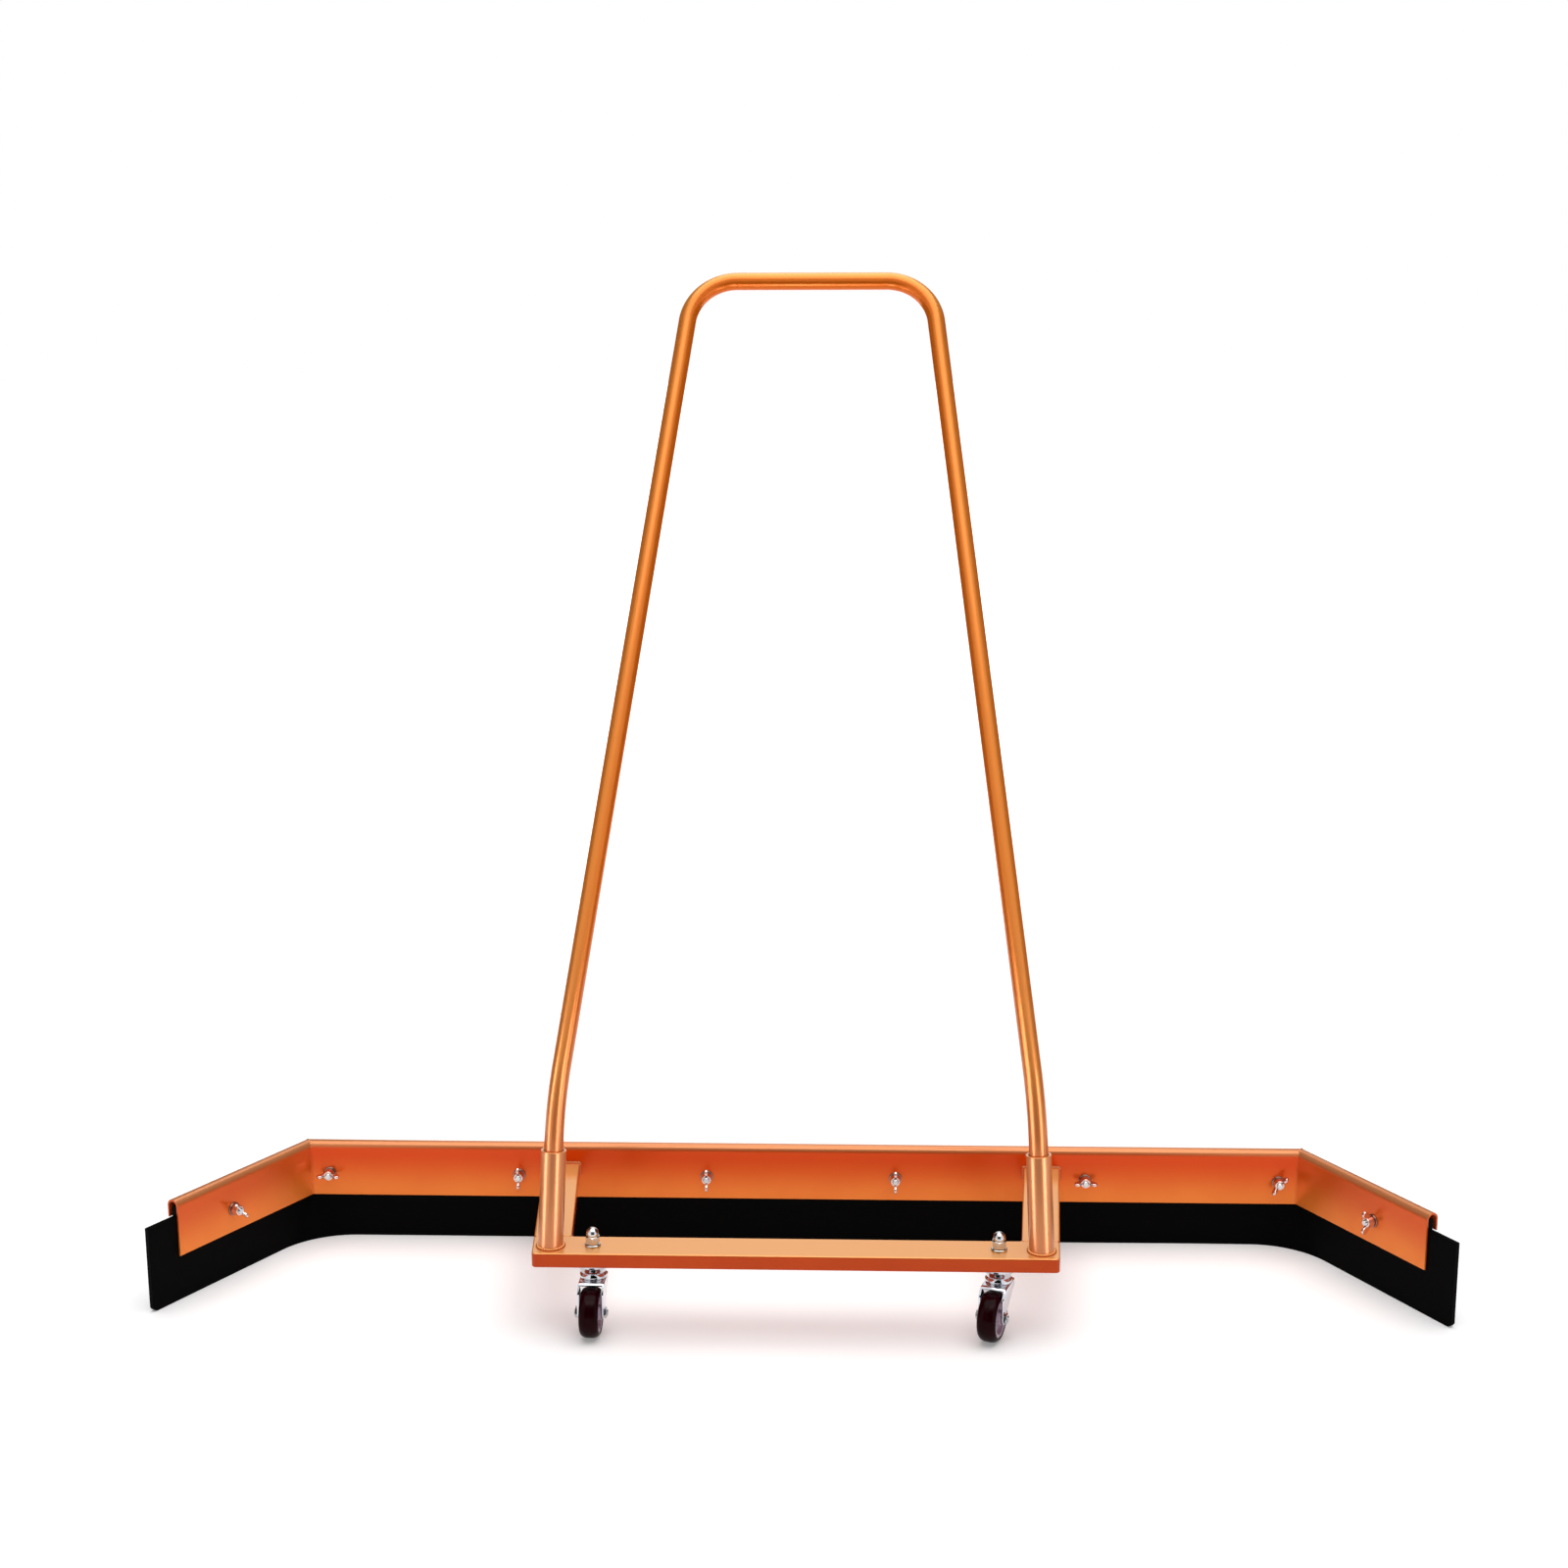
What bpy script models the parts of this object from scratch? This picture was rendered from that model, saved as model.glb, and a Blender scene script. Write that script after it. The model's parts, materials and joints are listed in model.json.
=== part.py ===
"""Wheeled push squeegee: a three-part blade rail, a base frame on two swivel casters, and a U-handle.

Metres, +Z up. The floor is Z = 0. The user stands on the +Y side and pushes towards -Y, so the
blade's wings sweep forward, towards -Y. The origin is the middle of the box round the whole object,
at floor height. Lengths along the depth are first laid out from the front face of the crossbar,
and ORIGIN_Y then moves them to the origin.
"""
from math import copysign, cos, pi, radians, sin, tan

import bmesh
import bpy
from mathutils import Matrix, Vector

# Clearance between touching pieces
GAP = 0.0003

# Blade rail: a centre length and two wings of one bent sheet section, mitred together
CENTRE_HALF = 0.530
WING_LENGTH = 0.188
WING_ANGLE = radians(58.0)
RAIL_FRONT = 0.228
RAIL_BOTTOM_Z = 0.048
RAIL_TOP_Z = 0.108
SHEET = 0.002
ROLL_RADIUS = 0.0075
LIP_DROP = 0.0200
ROLL_STEPS = 6

# Rubber blade behind the rail. It reaches up into the rolled edge, and is cut lower where it overhangs.
BLADE_THICKNESS = 0.006
BLADE_TOP_Z = 0.1015
BLADE_END_TOP_Z = 0.0905
BLADE_STEP = 0.0005
BLADE_OVERHANG = 0.037
BLADE_FLEX_RADIUS = 0.085
BLADE_TIGHT_RADIUS = 0.0015
BLADE_END_RADIUS = 0.006
BLADE_BEND_STEPS = 8
BLADE_LEVELS = 5

# Flat strips that clamp the blade from behind
STRIP_WIDTH = 0.025
STRIP_THICKNESS = 0.003
STRIP_CENTRE_HALF = 0.524
STRIP_WING_START = 0.008
STRIP_WING_END = 0.184

# Blade fasteners: M6 bolts, washers and wing nuts
BOLT_Z = 0.073
BOLT_PLACES = (0.1015, 0.3045, 0.5105)
WING_BOLT_AT = 0.114
M6_RADIUS = 0.003
M6_HOLE = 0.0034
M6_HEX_FLATS = 0.010
M6_HEAD = 0.004
WASHER_RADIUS = 0.007
WASHER_THICKNESS = 0.0016
NUT_BASE_RADIUS = 0.0058
NUT_NECK_RADIUS = 0.0050
NUT_HEIGHT = 0.008
NUT_SPAN = 0.0250
NUT_EAR_TOP = 0.0125
NUT_EAR_RADIUS = 0.0036
NUT_EAR_ROOT = 0.0012
NUT_EAR_THICKNESS = 0.0032
BOLT_PROUD = 0.0022
WING_NUT_TURNS = (-50.0, 0.0, 90.0, 90.0, 90.0, 0.0, 50.0, 90.0)

# Base frame: a crossbar and two side arms of flat rectangular tube
BAR_LENGTH = 0.519
BAR_DEPTH = 0.042
BAR_HEIGHT = 0.015
BAR_TOP_Z = 0.087
TUBE_WALL = 0.0015
TUBE_CORNER = 0.002
ARM_WIDTH = 0.038
ARM_SPLAY = radians(4.4)
ARM_INSET = 0.0003

# Handle sockets on the crossbar, leaning back and towards each other
SOCKET_RADIUS = 0.0125
SOCKET_WALL = 0.0025
SOCKET_FOOT = Vector((0.2428, 0.0195, BAR_TOP_Z))
SOCKET_HEAD = Vector((0.2386, 0.0295, 0.184))

# Push handle: one bent round tube. Its top sits a little to the right of the middle of the frame.
HANDLE_RADIUS = 0.0095
HANDLE_WALL = 0.0015
HANDLE_TOP = Vector((0.129, 0.4655, 1.014))
HANDLE_SWAY = 0.008
HANDLE_BEND_Z = 0.230
HANDLE_BEND_RADIUS = 0.190
HANDLE_TOP_RADIUS = 0.054
HANDLE_FOOT_CLEAR = 0.006

# Swivel casters with threaded stems
STEM_X = 0.201
STEM_Y = BAR_DEPTH / 2
STEM_RADIUS = 0.004
STEM_HOLE = 0.0043
STEM_TOP_Z = BAR_TOP_Z + 0.0135
STEM_HEAD_RADIUS = 0.0068
STEM_HEAD_Z = (0.0490, 0.0518)
WHEEL_RADIUS = 0.025
WHEEL_TRAIL = 0.020
HUB_RADIUS = 0.0195
HUB_HALF_WIDTH = 0.0090
HUB_BOSS_HALF_WIDTH = 0.0105
HUB_BOSS_RADIUS = 0.0072
HUB_WEB_HALF_WIDTH = 0.0052
HUB_RIM_INSIDE = 0.0165
TYRE_HALF_WIDTH = 0.0097
TYRE_SHOULDER = 0.0080
TYRE_CROWN_DROP = 0.0048
FORK_GAP_HALF = 0.011
FORK_PLATE = 0.002
CROWN_Z = (0.0522, 0.0550)
RACE_Z = (0.0608, BAR_TOP_Z - BAR_HEIGHT - GAP)
RACE_RADIUS = 0.0178
RACE_NECK_RADIUS = 0.0125
RACE_BRIM = 0.0012
BEARING_RADIUS = 0.0135
FORK_HEEL_Y = 0.0120
FORK_HEEL_DROP = 0.0030
FORK_TOE_Y = -0.0180
FORK_KNEE_Y = -0.0250
FORK_KNEE_DROP = 0.0060
AXLE_BOSS = 0.0065
AXLE_HEAD = 0.0026
AXLE_HALF_LENGTH = 0.0171

# M8 cap nut and washer that hold each stem
CAP_WASHER_RADIUS = 0.008
CAP_WASHER_THICKNESS = 0.0020
CAP_NUT_FLATS = 0.013
CAP_NUT_HEX = 0.0080
CAP_NUT_DOME = 0.00625
CAP_NUT_DOME_SIDE = 0.00225
CAP_NUT_HOLE_TOP_Z = BAR_TOP_Z + 0.0143

# Rest directions of the two casters, as the photograph happens to show them
LEFT_SWIVEL = radians(-2.0)
RIGHT_SWIVEL = radians(-20.0)

# Middle of the object's depth, from the front of the foremost wheel to the back of the top bar
FRONT_Y = STEM_Y - (WHEEL_TRAIL + WHEEL_RADIUS) * cos(LEFT_SWIVEL)
BACK_Y = HANDLE_TOP.y + HANDLE_RADIUS
ORIGIN_Y = (FRONT_Y + BACK_Y) / 2

ORANGE = (0.83, 0.20, 0.012)
RUBBER = (0.006, 0.006, 0.006)
ZINC = (0.62, 0.60, 0.58)
CHROME = (0.75, 0.76, 0.78)
MAROON = (0.030, 0.001, 0.003)
LILAC = (0.52, 0.40, 0.48)


def clear_scene():
    for item in list(bpy.data.objects):
        bpy.data.objects.remove(item, do_unlink=True)


def make_material(name, colour, roughness, metallic):
    material = bpy.data.materials.new(name)
    material.use_nodes = True
    shader = material.node_tree.nodes["Principled BSDF"]
    shader.inputs["Base Color"].default_value = (*colour, 1.0)
    shader.inputs["Roughness"].default_value = roughness
    shader.inputs["Metallic"].default_value = metallic
    material.diffuse_color = (*colour, 1.0)
    return material


def moved(point):
    """A place laid out from the crossbar's front face, in the object's own frame."""
    return Vector((point[0], point[1] - ORIGIN_Y, point[2]))


def mesh_from(bm, name, smooth):
    bmesh.ops.recalc_face_normals(bm, faces=bm.faces)
    mesh = bpy.data.meshes.new(name)
    bm.to_mesh(mesh)
    bm.free()
    if smooth:
        mesh.shade_smooth()
        mesh.set_sharp_from_angle(angle=radians(35.0))
    return mesh


def add_object(name, mesh, material=None, matrix=None, parent=None):
    item = bpy.data.objects.new(name, mesh)
    bpy.context.scene.collection.objects.link(item)
    item.parent = parent
    if matrix is not None:
        item.matrix_local = matrix
    if material is not None:
        mesh.materials.clear()
        mesh.materials.append(material)
    return item


def add_empty(name, matrix, parent=None):
    empty = bpy.data.objects.new(name, None)
    bpy.context.scene.collection.objects.link(empty)
    empty.parent = parent
    empty.matrix_local = matrix
    return empty


def combine(item, other, operation):
    """A Boolean on item, with other kept out of sight as its tool."""
    other.display_type = "WIRE"
    other.hide_render = True
    modifier = item.modifiers.new(operation.lower(), "BOOLEAN")
    modifier.operation = operation
    modifier.object = other
    modifier.solver = "EXACT"


def turned(bm, profile, steps, closed=True):
    """Spins a profile of (radius, height) points round Z. A closed profile makes a ring."""
    verts = [bm.verts.new((radius, 0.0, height)) for radius, height in profile]
    pairs = list(zip(verts, verts[1:]))
    if closed:
        pairs.append((verts[-1], verts[0]))
    edges = [bm.edges.new(pair) for pair in pairs]
    bmesh.ops.spin(bm, geom=verts + edges, cent=(0, 0, 0), axis=(0, 0, 1), angle=2 * pi,
                   steps=steps, use_merge=True)
    bmesh.ops.remove_doubles(bm, verts=bm.verts, dist=1e-6)


def prism(bm, outline, low, high):
    """Extrudes a closed (x, y) outline from height low to height high."""
    base = bm.faces.new([bm.verts.new((x, y, low)) for x, y in outline])
    result = bmesh.ops.extrude_face_region(bm, geom=[base])
    top = [part for part in result["geom"] if isinstance(part, bmesh.types.BMVert)]
    bmesh.ops.translate(bm, verts=top, vec=(0, 0, high - low))


def ring_outline(radius, steps, phase=0.0):
    return [(radius * cos(phase + 2 * pi * i / steps), radius * sin(phase + 2 * pi * i / steps))
            for i in range(steps)]


def hexagon(flats):
    return ring_outline(flats / 2 / cos(pi / 6), 6)


def arc(centre, radius, start, end, steps):
    """Points on an arc in a plane, both ends included."""
    points = []
    for i in range(steps + 1):
        angle = start + (end - start) * i / steps
        points.append((centre[0] + radius * cos(angle), centre[1] + radius * sin(angle)))
    return points


def rounded_box(width, height, corner, steps=3):
    """Outline of a rectangle with round corners, with one corner of its box at (0, 0)."""
    points = []
    for cx, cy, start in ((width - corner, corner, -pi / 2), (width - corner, height - corner, 0.0),
                          (corner, height - corner, pi / 2), (corner, corner, pi)):
        points += arc((cx, cy), corner, start, start + pi / 2, steps)
    return points


def loft(bm, first, last):
    """A closed solid between two outlines of the same count, with flat ends."""
    near = [bm.verts.new(point) for point in first]
    far = [bm.verts.new(point) for point in last]
    count = len(near)
    for i in range(count):
        j = (i + 1) % count
        bm.faces.new((near[i], near[j], far[j], far[i]))
    bm.faces.new(near)
    bm.faces.new(list(reversed(far)))


def wing_frame(side, along):
    """Matrix whose X runs along a wing, Y is up and Z points to the front, at a place on its face."""
    direction = Vector((side * cos(WING_ANGLE), -sin(WING_ANGLE), 0.0))
    front = Vector((-side * sin(WING_ANGLE), -cos(WING_ANGLE), 0.0))
    place = moved((side * CENTRE_HALF, RAIL_FRONT, 0.0)) + direction * along
    if side < 0:
        direction = -direction
    return frame_matrix(direction, front, place)


def frame_matrix(along, front, place):
    up = front.cross(along)
    matrix = Matrix((along, up, front)).transposed().to_4x4()
    matrix.translation = place
    return matrix


def centre_frame(x):
    return frame_matrix(Vector((1, 0, 0)), Vector((0, -1, 0)), moved((x, RAIL_FRONT, 0.0)))


def bolt_frames():
    """The eight bolt places from left to right, on the rail's front face."""
    frames = [wing_frame(-1, WING_BOLT_AT)]
    frames += [centre_frame(-x) for x in reversed(BOLT_PLACES)]
    frames += [centre_frame(x) for x in BOLT_PLACES]
    frames.append(wing_frame(1, WING_BOLT_AT))
    return [frame @ Matrix.Translation((0, BOLT_Z, 0)) for frame in frames]


def bolt_hole_cutter(name, frames, radius, back):
    """One cutter with a round bar through each bolt place."""
    bm = bmesh.new()
    for frame in frames:
        before = set(bm.verts)
        prism(bm, ring_outline(radius, 16), -back, 0.004)
        added = [vert for vert in bm.verts if vert not in before]
        bmesh.ops.transform(bm, matrix=frame, verts=added)
    return add_object(name, mesh_from(bm, name, False))


def rail_profile():
    """Section of the rail as (depth behind the front face, height): a plate with a rolled top."""
    centre = (ROLL_RADIUS, RAIL_TOP_Z - ROLL_RADIUS)
    lip = RAIL_TOP_Z - LIP_DROP
    points = [(0.0, RAIL_BOTTOM_Z)]
    points += arc(centre, ROLL_RADIUS, pi, 0.0, ROLL_STEPS)
    points += [(2 * ROLL_RADIUS, lip), (2 * ROLL_RADIUS - SHEET, lip)]
    points += arc(centre, ROLL_RADIUS - SHEET, 0.0, pi, ROLL_STEPS)
    points.append((SHEET, RAIL_BOTTOM_Z))
    return points


def wing_place(side, along, depth, height):
    """A point on a wing: along it from the corner, behind its front face, and above the floor."""
    x = CENTRE_HALF + along * cos(WING_ANGLE) + depth * sin(WING_ANGLE)
    y = RAIL_FRONT - along * sin(WING_ANGLE) + depth * cos(WING_ANGLE)
    return moved((side * x, y, height))


def build_rails(orange, frames):
    profile = rail_profile()
    mitre = tan(WING_ANGLE / 2)
    bm = bmesh.new()
    ends = []
    for side in (-1, 1):
        ends.append([moved((side * (CENTRE_HALF + depth * mitre - GAP / 2), RAIL_FRONT + depth, height))
                     for depth, height in profile])
    loft(bm, ends[0], ends[1])
    centre = add_object("centre_blade_rail", mesh_from(bm, "centre_blade_rail", True), orange)
    combine(centre, bolt_hole_cutter("cutter_centre_rail", frames[1:-1], M6_HOLE, 0.006), "DIFFERENCE")
    for side, name, frame in ((-1, "left_wing_rail", frames[0]), (1, "right_wing_rail", frames[-1])):
        bm = bmesh.new()
        near = [wing_place(side, GAP / 2 - depth * mitre, depth, height) for depth, height in profile]
        far = [wing_place(side, WING_LENGTH, depth, height) for depth, height in profile]
        loft(bm, near, far)
        wing = add_object(name, mesh_from(bm, name, True), orange)
        combine(wing, bolt_hole_cutter("cutter_" + name, [frame], M6_HOLE, 0.006), "DIFFERENCE")


def blade_bend_radius(height):
    """Free below the rail, the rubber takes a wide bend; against the rail it is creased tight."""
    free = max(0.0, 1.0 - height / (RAIL_BOTTOM_Z - GAP))
    return BLADE_TIGHT_RADIUS + BLADE_FLEX_RADIUS * free ** 1.5


def blade_columns():
    """Columns of the blade's right half: a place for a height and depth, its lowest and highest level."""
    front_depth = SHEET + GAP

    def bend(fraction):
        def place(height, depth):
            radius = blade_bend_radius(height)
            corner_x = CENTRE_HALF + front_depth * tan(WING_ANGLE / 2)
            centre_x = corner_x - radius * tan(WING_ANGLE / 2)
            centre_y = RAIL_FRONT + front_depth - radius
            angle = WING_ANGLE * fraction
            reach = radius + depth
            return Vector((centre_x + reach * sin(angle), centre_y + reach * cos(angle), height))
        return place

    def straight(along):
        def place(height, depth):
            point = wing_place(1, along, front_depth + depth, height)
            return Vector((point.x, point.y + ORIGIN_Y, height))
        return place

    columns = [(bend(i / BLADE_BEND_STEPS), 0.0, BLADE_TOP_Z) for i in range(BLADE_BEND_STEPS + 1)]
    columns.append((straight(WING_LENGTH - BLADE_STEP), 0.0, BLADE_TOP_Z))
    columns.append((straight(WING_LENGTH), 0.0, BLADE_END_TOP_Z))
    tip = WING_LENGTH + BLADE_OVERHANG
    for angle in (0.0, pi / 6, pi / 3, pi / 2):
        along = tip - BLADE_END_RADIUS * (1 - sin(angle))
        columns.append((straight(along), BLADE_END_RADIUS * (1 - cos(angle)), BLADE_END_TOP_Z))
    return columns


def build_blade(rubber, frames):
    free_height = RAIL_BOTTOM_Z - GAP
    right = blade_columns()
    sides = [(-1, *column) for column in reversed(right)] + [(1, *column) for column in right]
    bm = bmesh.new()
    rings = []
    for side, place, lift, top in sides:
        heights = [lift + (free_height - lift) * i / BLADE_LEVELS for i in range(BLADE_LEVELS + 1)]
        heights.append(top)
        loop = [place(height, 0.0) for height in heights]
        loop += [place(height, BLADE_THICKNESS) for height in reversed(heights)]
        rings.append([bm.verts.new(moved((side * p.x, p.y, p.z))) for p in loop])
    count = len(rings[0])
    for near, far in zip(rings, rings[1:]):
        for i in range(count):
            j = (i + 1) % count
            bm.faces.new((near[i], near[j], far[j], far[i]))
    for ring in (rings[0], list(reversed(rings[-1]))):
        levels = count // 2
        for i in range(levels - 1):
            bm.faces.new((ring[i], ring[i + 1], ring[count - 2 - i], ring[count - 1 - i]))
    blade = add_object("rubber_blade", mesh_from(bm, "rubber_blade", True), rubber)
    combine(blade, bolt_hole_cutter("cutter_blade", frames, M6_HOLE, 0.012), "DIFFERENCE")


def build_clamp_strips(steel, frames):
    near = SHEET + GAP + BLADE_THICKNESS + GAP
    far = near + STRIP_THICKNESS
    low = BOLT_Z - STRIP_WIDTH / 2
    high = BOLT_Z + STRIP_WIDTH / 2
    section = [(near, low), (near, high), (far, high), (far, low)]
    bm = bmesh.new()
    loft(bm, [moved((-STRIP_CENTRE_HALF, RAIL_FRONT + d, z)) for d, z in section],
         [moved((STRIP_CENTRE_HALF, RAIL_FRONT + d, z)) for d, z in section])
    name = "centre_clamp_strip"
    strip = add_object(name, mesh_from(bm, name, False), steel)
    combine(strip, bolt_hole_cutter("cutter_" + name, frames[1:-1], M6_HOLE, 0.016), "DIFFERENCE")
    for side, name, frame in ((-1, "left_clamp_strip", frames[0]), (1, "right_clamp_strip", frames[-1])):
        bm = bmesh.new()
        loft(bm, [wing_place(side, STRIP_WING_START, d, z) for d, z in section],
             [wing_place(side, STRIP_WING_END, d, z) for d, z in section])
        strip = add_object(name, mesh_from(bm, name, False), steel)
        combine(strip, bolt_hole_cutter("cutter_" + name, [frame], M6_HOLE, 0.016), "DIFFERENCE")


def blade_bolt_mesh():
    """Hex bolt along Z, its tip to the front; Z = 0 is the rail's front face."""
    stack = SHEET + GAP + BLADE_THICKNESS + GAP + STRIP_THICKNESS + GAP
    tip = 2 * GAP + WASHER_THICKNESS + NUT_HEIGHT + BOLT_PROUD
    bm = bmesh.new()
    prism(bm, hexagon(M6_HEX_FLATS), -stack - M6_HEAD, -stack)
    head = add_object("tool_bolt_head", mesh_from(bm, "tool_bolt_head", False))
    bm = bmesh.new()
    chamfer = 0.0006
    turned(bm, [(0, -stack - M6_HEAD / 2), (M6_RADIUS, -stack - M6_HEAD / 2), (M6_RADIUS, tip - chamfer),
                (M6_RADIUS - chamfer, tip), (0, tip)], 16, closed=False)
    shank = add_object("tool_bolt_shank", mesh_from(bm, "tool_bolt_shank", True))
    combine(shank, head, "UNION")
    return finished_mesh(shank, "blade_bolt", [head])


def finished_mesh(item, name, tools):
    """The item with its modifiers applied, as a mesh of its own; the item and its tools go."""
    bpy.context.view_layer.update()
    shape = item.evaluated_get(bpy.context.evaluated_depsgraph_get())
    mesh = bpy.data.meshes.new_from_object(shape)
    mesh.name = name
    for old in [item, *tools]:
        bpy.data.objects.remove(old, do_unlink=True)
    mesh.shade_smooth()
    mesh.set_sharp_from_angle(angle=radians(35.0))
    return mesh


def wing_nut_mesh():
    """Wing nut on Z: a tapered hub with two rounded ears that sweep forward, bored for the bolt."""
    bm = bmesh.new()
    turned(bm, [(0, 0), (NUT_BASE_RADIUS, 0), (NUT_BASE_RADIUS, 0.0018), (NUT_NECK_RADIUS, NUT_HEIGHT),
                (0, NUT_HEIGHT)], 16, closed=False)
    hub = add_object("tool_nut_hub", mesh_from(bm, "tool_nut_hub", True))
    reach = NUT_SPAN / 2
    root = (NUT_EAR_RADIUS, NUT_EAR_ROOT)
    tools = []
    for side in (-1, 1):
        ear_centre = (side * (reach - NUT_EAR_RADIUS), NUT_EAR_TOP - NUT_EAR_RADIUS)
        outline = [(side * root[0], root[1]), (side * (NUT_BASE_RADIUS - GAP), root[1])]
        start, end = (-pi / 4, pi * 0.72) if side > 0 else (-3 * pi / 4, -3 * pi / 4 - pi * 0.97)
        outline += arc(ear_centre, NUT_EAR_RADIUS, start, end, 6)
        outline.append((side * root[0], NUT_HEIGHT - root[1]))
        bm = bmesh.new()
        prism(bm, outline, -NUT_EAR_THICKNESS / 2, NUT_EAR_THICKNESS / 2)
        upright = Matrix.Rotation(pi / 2, 4, "X")
        bmesh.ops.transform(bm, matrix=upright, verts=bm.verts)
        ear = add_object("tool_nut_ear", mesh_from(bm, "tool_nut_ear", True))
        combine(hub, ear, "UNION")
        tools.append(ear)
    bm = bmesh.new()
    prism(bm, ring_outline(M6_RADIUS + GAP, 16), -0.002, 0.020)
    bore = add_object("tool_nut_bore", mesh_from(bm, "tool_nut_bore", False))
    combine(hub, bore, "DIFFERENCE")
    return finished_mesh(hub, "wing_nut", [*tools, bore])


def washer_mesh(name, outer, inner, thickness, steps):
    bm = bmesh.new()
    turned(bm, [(inner, 0), (outer, 0), (outer, thickness), (inner, thickness)], steps)
    return mesh_from(bm, name, True)


def build_fasteners(zinc, frames):
    bolt = blade_bolt_mesh()
    washer = washer_mesh("blade_washer", WASHER_RADIUS, M6_HOLE, WASHER_THICKNESS, 20)
    nut = wing_nut_mesh()
    for i, frame in enumerate(frames):
        number = str(i + 1)
        add_object("blade_bolt_" + number, bolt, zinc, frame)
        add_object("blade_washer_" + number, washer, zinc, frame @ Matrix.Translation((0, 0, GAP)))
        seat = Matrix.Translation((0, 0, 2 * GAP + WASHER_THICKNESS))
        turn = Matrix.Rotation(radians(WING_NUT_TURNS[i]), 4, "Z")
        add_object("wing_nut_" + number, nut, zinc, frame @ seat @ turn)


def flat_tube(bm, width, height, start, end, across):
    """Rectangular tube between two points on its lower centre line, open at both ends."""
    rings = []
    for inset in (0.0, TUBE_WALL):
        outline = rounded_box(width - 2 * inset, height - 2 * inset, max(TUBE_CORNER - inset, 0.0005))
        for place in (start, end):
            rings.append([bm.verts.new(place + across * (x + inset - width / 2) + Vector((0, 0, z + inset)))
                          for x, z in outline])
    outer_start, outer_end, inner_start, inner_end = rings
    count = len(outer_start)
    for i in range(count):
        j = (i + 1) % count
        bm.faces.new((outer_start[i], outer_start[j], outer_end[j], outer_end[i]))
        bm.faces.new((inner_start[j], inner_start[i], inner_end[i], inner_end[j]))
        bm.faces.new((outer_start[j], outer_start[i], inner_start[i], inner_start[j]))
        bm.faces.new((outer_end[i], outer_end[j], inner_end[j], inner_end[i]))


def slant_ends(bm):
    """Slants the bar's ends along the arms, so that the frame's sides run straight to its front."""
    for vert in bm.verts:
        depth = vert.co.y + ORIGIN_Y
        vert.co.x += copysign(tan(ARM_SPLAY) * depth, vert.co.x)


def build_crossbar(orange):
    """Closed-ended flat tube, drilled through for the two caster stems."""
    low = BAR_TOP_Z - BAR_HEIGHT
    bm = bmesh.new()
    outline = rounded_box(BAR_LENGTH, BAR_DEPTH, 0.004)
    prism(bm, outline, low, BAR_TOP_Z)
    shift = moved((-BAR_LENGTH / 2, 0.0, 0.0))
    bmesh.ops.translate(bm, verts=bm.verts, vec=shift)
    bmesh.ops.recalc_face_normals(bm, faces=bm.faces)
    rims = [edge for edge in bm.edges if abs(edge.verts[0].co.z - edge.verts[1].co.z) < 1e-9]
    bmesh.ops.bevel(bm, geom=rims, offset=0.0012, segments=2, profile=0.5, affect="EDGES")
    slant_ends(bm)
    bar = add_object("front_crossbar", mesh_from(bm, "front_crossbar", True), orange)
    bm = bmesh.new()
    wall = TUBE_WALL
    prism(bm, rounded_box(BAR_LENGTH - 2 * wall, BAR_DEPTH - 2 * wall, 0.0025), low + wall, BAR_TOP_Z - wall)
    bmesh.ops.translate(bm, verts=bm.verts, vec=moved((wall - BAR_LENGTH / 2, wall, 0.0)))
    slant_ends(bm)
    hollow = add_object("cutter_bar_hollow", mesh_from(bm, "cutter_bar_hollow", False))
    combine(bar, hollow, "DIFFERENCE")
    bm = bmesh.new()
    for side in (-1, 1):
        outline = [(x + side * STEM_X, y + STEM_Y - ORIGIN_Y) for x, y in ring_outline(STEM_HOLE, 16)]
        prism(bm, outline, low - wall, BAR_TOP_Z + wall)
    stem_holes = add_object("cutter_stem_holes", mesh_from(bm, "cutter_stem_holes", False))
    combine(bar, stem_holes, "DIFFERENCE")


def build_arms(orange):
    low = BAR_TOP_Z - BAR_HEIGHT
    start_y = BAR_DEPTH + GAP
    end_y = RAIL_FRONT - GAP
    first = BAR_LENGTH / 2 + tan(ARM_SPLAY) * start_y - ARM_INSET - ARM_WIDTH / 2
    for side, name in ((-1, "left_side_arm"), (1, "right_side_arm")):
        last = first + tan(ARM_SPLAY) * (end_y - start_y)
        bm = bmesh.new()
        flat_tube(bm, ARM_WIDTH, BAR_HEIGHT, moved((side * first, start_y, low)),
                  moved((side * last, end_y, low)), Vector((1, 0, 0)))
        add_object(name, mesh_from(bm, name, True), orange)


def socket_axis(side):
    foot = moved(SOCKET_FOOT)
    head = moved(SOCKET_HEAD)
    foot.x *= side
    head.x *= side
    return foot, head


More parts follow.
